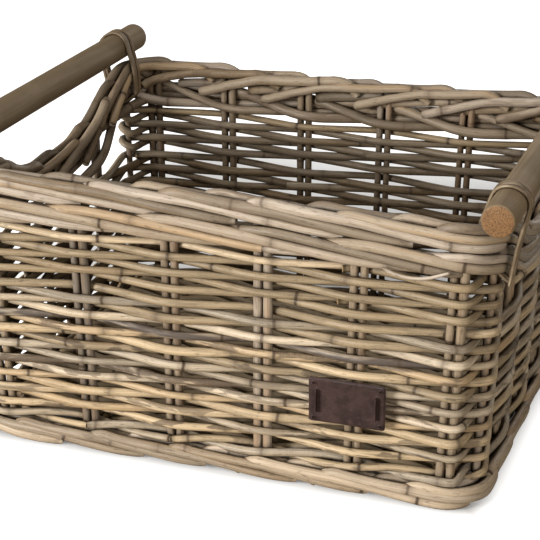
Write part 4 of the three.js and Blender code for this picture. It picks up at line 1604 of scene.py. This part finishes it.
@dataclass
class Lashings(SubAssembly):
    """Cane wound over each pole and under the rim band near both its ends."""

    radius: float = 0.0014
    turns: int = 3
    bend: float = 0.0035
    # Where along the pole it lies and goes under the band, how it leans over the pole, and the gaps
    # between its first and last turns and between all its turns.
    y: float = 0.134
    band_y: float = 0.128
    lean: float = 0.009
    group_gap: float = 0.0030
    turn_gap: float = 0.0004
    # How far its top corners lie below the rim, and its low corner inside above the one outside.
    inner_top_drop: float = 0.0083
    outer_top_drop: float = 0.0203
    inner_rise: float = 0.020
    # How far it stays from the wall, from the band, from the pole, and hangs loose outside.
    clearance: float = 0.0003
    band_gap: float = 0.0006
    pole_gap: float = 0.0001
    outer_top_slack: float = 0.0040
    outer_low_slack: float = 0.0010
    pole_steps: int = 9
    pole_swell: float = 1.01
    tones: tuple[float, float] = (0.1, 0.8)

    def loop(self) -> list[Bend]:
        """Give one turn of cane in the plane across the pole, as x and z."""
        plan, sizes, poles = self.plan, self.sizes, self.poles
        face = sizes.wall_half + self.clearance + self.radius
        low = plan.rim_top(poles.x, self.band_y) - sizes.rim_band_drop - self.band_gap - self.radius
        inner_top = sizes.rim_height - self.inner_top_drop
        outer_top = sizes.rim_height - self.outer_top_drop

        def wall(z: float, reach: float) -> Peg:
            """Make a corner of the cane beside the wall."""
            return Peg(plan.half_x(z) + reach, z, 0.0, Side.INSIDE, 1, 0)

        reach = poles.radius * self.pole_swell + self.pole_gap + self.radius
        over = Peg(poles.x, poles.z, reach, Side.INSIDE, self.pole_steps, 0)
        pegs = [wall(low + self.inner_rise, -face), wall(inner_top, -face), over,
                wall(outer_top, face + self.outer_top_slack), wall(low, face + self.outer_low_slack)]
        return plan.draw_tight(pegs, True)

    def wind(self, loop: Sequence[Bend], side_x: int, side_y: int) -> list[np.ndarray]:
        """Wind the cane round and round.

        Args:
            loop: one turn of it.
            side_x: the pole's side.
            side_y: 1 near the pole's back end and -1 near its front end.

        Returns:
            The corners of its path.
        """
        pitch = 2 * self.radius + self.turn_gap
        half = self.turns / 2
        corners = []
        for i in range(self.turns * len(loop)):
            bend, turn = loop[i % len(loop)], i / len(loop)
            above = max(bend.y - self.poles.z, 0.0)
            y = self.y + pitch * (turn - half) + self.group_gap * (turn >= half)
            y += self.lean * above / (self.poles.radius * 2)
            corners.append(np.array([side_x * bend.x, side_y * y, bend.y]))
        return corners

    def build(self) -> None:
        """Wind the four lashings."""
        loop = self.loop()
        for front, side_y in (("front", -1), ("back", 1)):
            for hand, side_x in (("left", -1), ("right", 1)):
                line = self.bench.ease(self.wind(loop, side_x, side_y), self.bend)
                rod = self.bench.new_rod(line, self.radius)
                rod.tone = self.shop.rng.uniform(*self.tones)
                self.shop.place_rods(f"lashing_{front}_{hand}", [rod], CANE)


@dataclass
class LeatherTag(SubAssembly):
    """The bare leather tag on the front wall, with a slit near each end and a tack hole in each corner."""

    width: float = 0.054
    height: float = 0.033
    thickness: float = 0.0024
    corner: float = 0.0016
    corner_steps: int = 5
    # The x and z of its middle.
    centre: tuple[float, float] = (0.098, 0.074)
    # The slits' width and height.
    slit: tuple[float, float] = (0.0008, 0.017)
    slit_inset: float = 0.006
    hole_inset: float = 0.0034
    hole_radius: float = 0.0007
    soft_edge: float = 0.00035
    voxel: float = 0.00035
    clearance: float = 0.0003
    # How far it curls, the shares of that across and up, and its ripple's share and waves.
    curl: float = 0.0007
    curl_across: float = 0.6
    curl_up: float = 0.3
    ripple: float = 0.25
    ripple_rate: float = 5.0

    @staticmethod
    def settle() -> bpy.types.Object:
        """Apply the new object's placing and scale to its mesh and give it."""
        bpy.ops.object.transform_apply(location=True, rotation=True, scale=True)
        return bpy.context.object

    def box(self, size: tuple[float, float, float], x: float = 0.0) -> bpy.types.Object:
        """Make a box of a size, with its middle at x."""
        bpy.ops.mesh.primitive_cube_add(size=1.0, location=(x, 0, 0))
        bpy.context.object.scale = size
        return self.settle()

    def modify(self, piece: bpy.types.Object, kind: str, **settings) -> None:
        """Apply a modifier of a kind and with its settings to a piece."""
        bpy.context.view_layer.objects.active = piece
        step = piece.modifiers.new(kind.lower(), kind)
        for key, value in settings.items():
            setattr(step, key, value)
        bpy.ops.object.modifier_apply(modifier=step.name)

    def plate(self) -> bpy.types.Object:
        """Make the flat tag with rounded corners."""
        bpy.ops.object.select_all(action="DESELECT")
        piece = self.box((self.width, self.thickness, self.height))
        piece.name = "leather_tag_plate"
        bpy.ops.object.mode_set(mode="EDIT")
        bpy.ops.mesh.select_mode(type="EDGE")
        bpy.ops.object.mode_set(mode="OBJECT")
        for edge in piece.data.edges:
            a, b = (piece.data.vertices[v].co for v in edge.vertices)
            edge.select = abs(a.y - b.y) > self.thickness / 2
        bpy.ops.object.mode_set(mode="EDIT")
        bpy.ops.mesh.bevel(offset=self.corner, segments=self.corner_steps, affect="EDGES")
        bpy.ops.object.mode_set(mode="OBJECT")
        return piece

    def openings(self) -> Iterable[bpy.types.Object]:
        """Make the shapes of the slits and the tack holes, one after the other."""
        depth = 4 * self.thickness
        slit_x = self.width / 2 - self.slit_inset
        hole_x, hole_z = self.width / 2 - self.hole_inset, self.height / 2 - self.hole_inset
        for side in (-1, 1):
            yield self.box((self.slit[0], depth, self.slit[1]), side * slit_x)
            for up in (-1, 1):
                bpy.ops.mesh.primitive_cylinder_add(vertices=16, radius=self.hole_radius, depth=depth,
                                                    rotation=(math.pi / 2, 0, 0),
                                                    location=(side * hole_x, 0, up * hole_z))
                yield self.settle()

    def build(self) -> None:
        """Cut the tag, curl it and lay it on the wall."""
        plan, sizes = self.plan, self.sizes
        piece = self.plate()
        for tool in self.openings():
            self.modify(piece, "BOOLEAN", operation="DIFFERENCE", solver="EXACT", object=tool)
            bpy.data.objects.remove(tool, do_unlink=True)
        self.modify(piece, "BEVEL", width=self.soft_edge, segments=2, limit_method="ANGLE")
        self.modify(piece, "REMESH", mode="VOXEL", voxel_size=self.voxel)
        piece.select_set(True)
        places = np.array([v.co for v in piece.data.vertices])
        across, up = places[:, 0] / (self.width / 2), places[:, 2] / (self.height / 2)
        ripple = np.sin(across * self.ripple_rate + up) * self.ripple
        places[:, 1] -= self.curl * (across ** 2 * self.curl_across + ripple + up ** 2 * self.curl_up)
        piece.data.vertices.foreach_set("co", places.astype(np.float32).ravel())
        x, z = self.centre
        lean = math.atan2(sizes.foot_inset_y - sizes.long_wall_bow, sizes.rim_height)
        back = plan.half_y(z) - plan.bow(x, z) + sizes.wall_half + self.clearance + self.thickness / 2
        piece.data.transform(Matrix.Translation((x, -back, z)) @ Matrix.Rotation(lean, 4, "X"))
        bpy.ops.object.shade_smooth_by_angle(angle=math.radians(35))
        self.shop.place(piece, self.shop.shelf.leather(LeatherFinish()), "tag_leather", "leather_tag")


@dataclass(frozen=True)
class LampPlan:
    """A square lamp that faces the basket: its size is in metres and its power in watts."""

    name: str
    place: tuple[float, float, float]
    size: float
    power: float
    colour: Colour


LAMPS = (LampPlan("left_softbox", (-1.50, -2.35, 0.72), 1.0, 104.0, (1.0, 0.985, 0.955)),
         LampPlan("right_softbox", (1.45, -1.45, 0.80), 0.9, 16.0, (1.0, 0.95, 0.87)),
         LampPlan("top_softbox", (-0.1, -0.35, 1.9), 1.0, 14.0, (1.0, 0.99, 0.97)),
         LampPlan("back_softbox", (0.15, 2.4, 0.42), 1.5, 17.0, (1.0, 0.98, 0.95)))


@dataclass
class Studio:
    """The white floor, the lights and the camera."""

    # Where the camera stands, where it looks, which way is up in its picture, and its lens and
    # sensor in millimetres.
    camera_place: tuple[float, float, float] = (0.40293, -1.20212, 0.60031)
    forward: tuple[float, float, float] = (-0.30381, 0.87879, -0.36801)
    above: tuple[float, float, float] = (-0.12259, 0.34700, 0.92982)
    lens: float = 118.35
    sensor: float = 36.0
    # What the lamps face.
    aim: tuple[float, float, float] = (0.0, 0.0, 0.1)
    # Half the basket's foot, how strongly the floor glows beside it, and how much of that glow is taken away
    # just behind it as a painted shadow.
    foot_x: float = 0.186
    foot_y: float = 0.150
    floor_glow: float = 0.94
    painted_shadow_behind: float = 0.93
    # The floor's colour as the camera sees it, and as it lights the basket from below.
    seen_floor: Colour = (0.90, 0.90, 0.90)
    lit_floor: Colour = (0.36, 0.315, 0.245)
    sky_colour: Colour = (1.0, 0.96, 0.88)
    sky_strength: float = 0.05

    def floor(self) -> None:
        """Lay the floor, which glows white for the camera but not under the basket, and hardly just behind
        it, where the dimmed glow is a painted shadow.
        """
        bpy.ops.mesh.primitive_plane_add(size=30.0, location=(0, 0, 0))
        floor = bpy.context.object
        floor.name = "studio_floor"
        material, n, surface = MaterialShelf.start("studio_white")
        x, y, _ = n.parts(n.object_place())
        beside = n.math("MAXIMUM", n.math("SUBTRACT", n.math("ABSOLUTE", x), self.foot_x),
                        n.math("SUBTRACT", n.math("ABSOLUTE", y), self.foot_y))
        # Painted shadow: dim the glow on the floor just behind the basket, where it shows through the back
        # wall.
        behind = n.math("MULTIPLY", n.ramp(y, 0.10, 0.16), n.ramp(y, 0.48, 0.74, 1.0, 0.0))
        behind = n.math("MULTIPLY", behind, n.ramp(x, -0.40, -0.26))
        glow = n.math("SUBTRACT", 1.0, n.math("MULTIPLY", behind, self.painted_shadow_behind))
        direct = n.add("ShaderNodeLightPath").outputs["Is Camera Ray"]
        seen = n.math("MULTIPLY", n.math("MULTIPLY", n.ramp(beside, -0.012, 0.020), direct), glow)
        n.join(n.math("MULTIPLY", seen, self.floor_glow), surface.inputs["Emission Strength"])
        surface.inputs["Emission Color"].default_value = (1.0, 1.0, 1.0, 1.0)
        n.coat(surface, n.blend(direct, self.lit_floor, self.seen_floor), 1.0, 0.0)
        floor.data.materials.append(material)

    def sky(self) -> None:
        """Fill the surroundings with soft white light."""
        world = bpy.data.worlds.new("studio_sky")
        world.use_nodes = True
        background = world.node_tree.nodes["Background"]
        background.inputs["Color"].default_value = (*self.sky_colour, 1.0)
        background.inputs["Strength"].default_value = self.sky_strength
        bpy.context.scene.world = world

    def hang(self, plan: LampPlan) -> None:
        """Hang a lamp."""
        data = bpy.data.lights.new(plan.name, "AREA")
        data.size, data.energy, data.color = plan.size, plan.power, plan.colour
        lamp = bpy.data.objects.new(plan.name, data)
        lamp.location = plan.place
        lamp.rotation_euler = (Vector(self.aim) - Vector(plan.place)).to_track_quat("-Z", "Y").to_euler()
        bpy.context.scene.collection.objects.link(lamp)

    def camera(self) -> None:
        """Set the camera that took the photo."""
        data = bpy.data.cameras.new("photo_camera")
        data.sensor_width, data.lens = self.sensor, self.lens
        camera = bpy.data.objects.new("photo_camera", data)
        forward, above = Vector(self.forward).normalized(), Vector(self.above).normalized()
        right = forward.cross(above).normalized()
        above = right.cross(forward)
        turn = Matrix((right, above, -forward)).transposed()
        camera.matrix_world = Matrix.Translation(self.camera_place) @ turn.to_4x4()
        bpy.context.scene.collection.objects.link(camera)
        bpy.context.scene.camera = camera

    def build(self) -> None:
        """Set up the studio."""
        self.floor()
        self.sky()
        for plan in LAMPS:
            self.hang(plan)
        self.camera()
        bpy.context.scene.view_settings.view_transform = "Standard"


def main() -> None:
    """Build the basket and its studio."""
    logging.basicConfig(level=logging.INFO, format="%(name)s: %(message)s")
    rng = random.Random(7)
    shop = Workshop(WallPlan(BasketSizes()), PoleSizes(), RodBench(rng), MaterialShelf(),
                    Wobble(seed=3, size=0.0012, pitch=0.42), rng)
    for part in (WallWeaving, Wales, Borders, Stakes, BaseWeaving, Poles, Lashings, LeatherTag):
        part(shop).build()
    Studio().build()


if __name__ == "__main__":
    main()
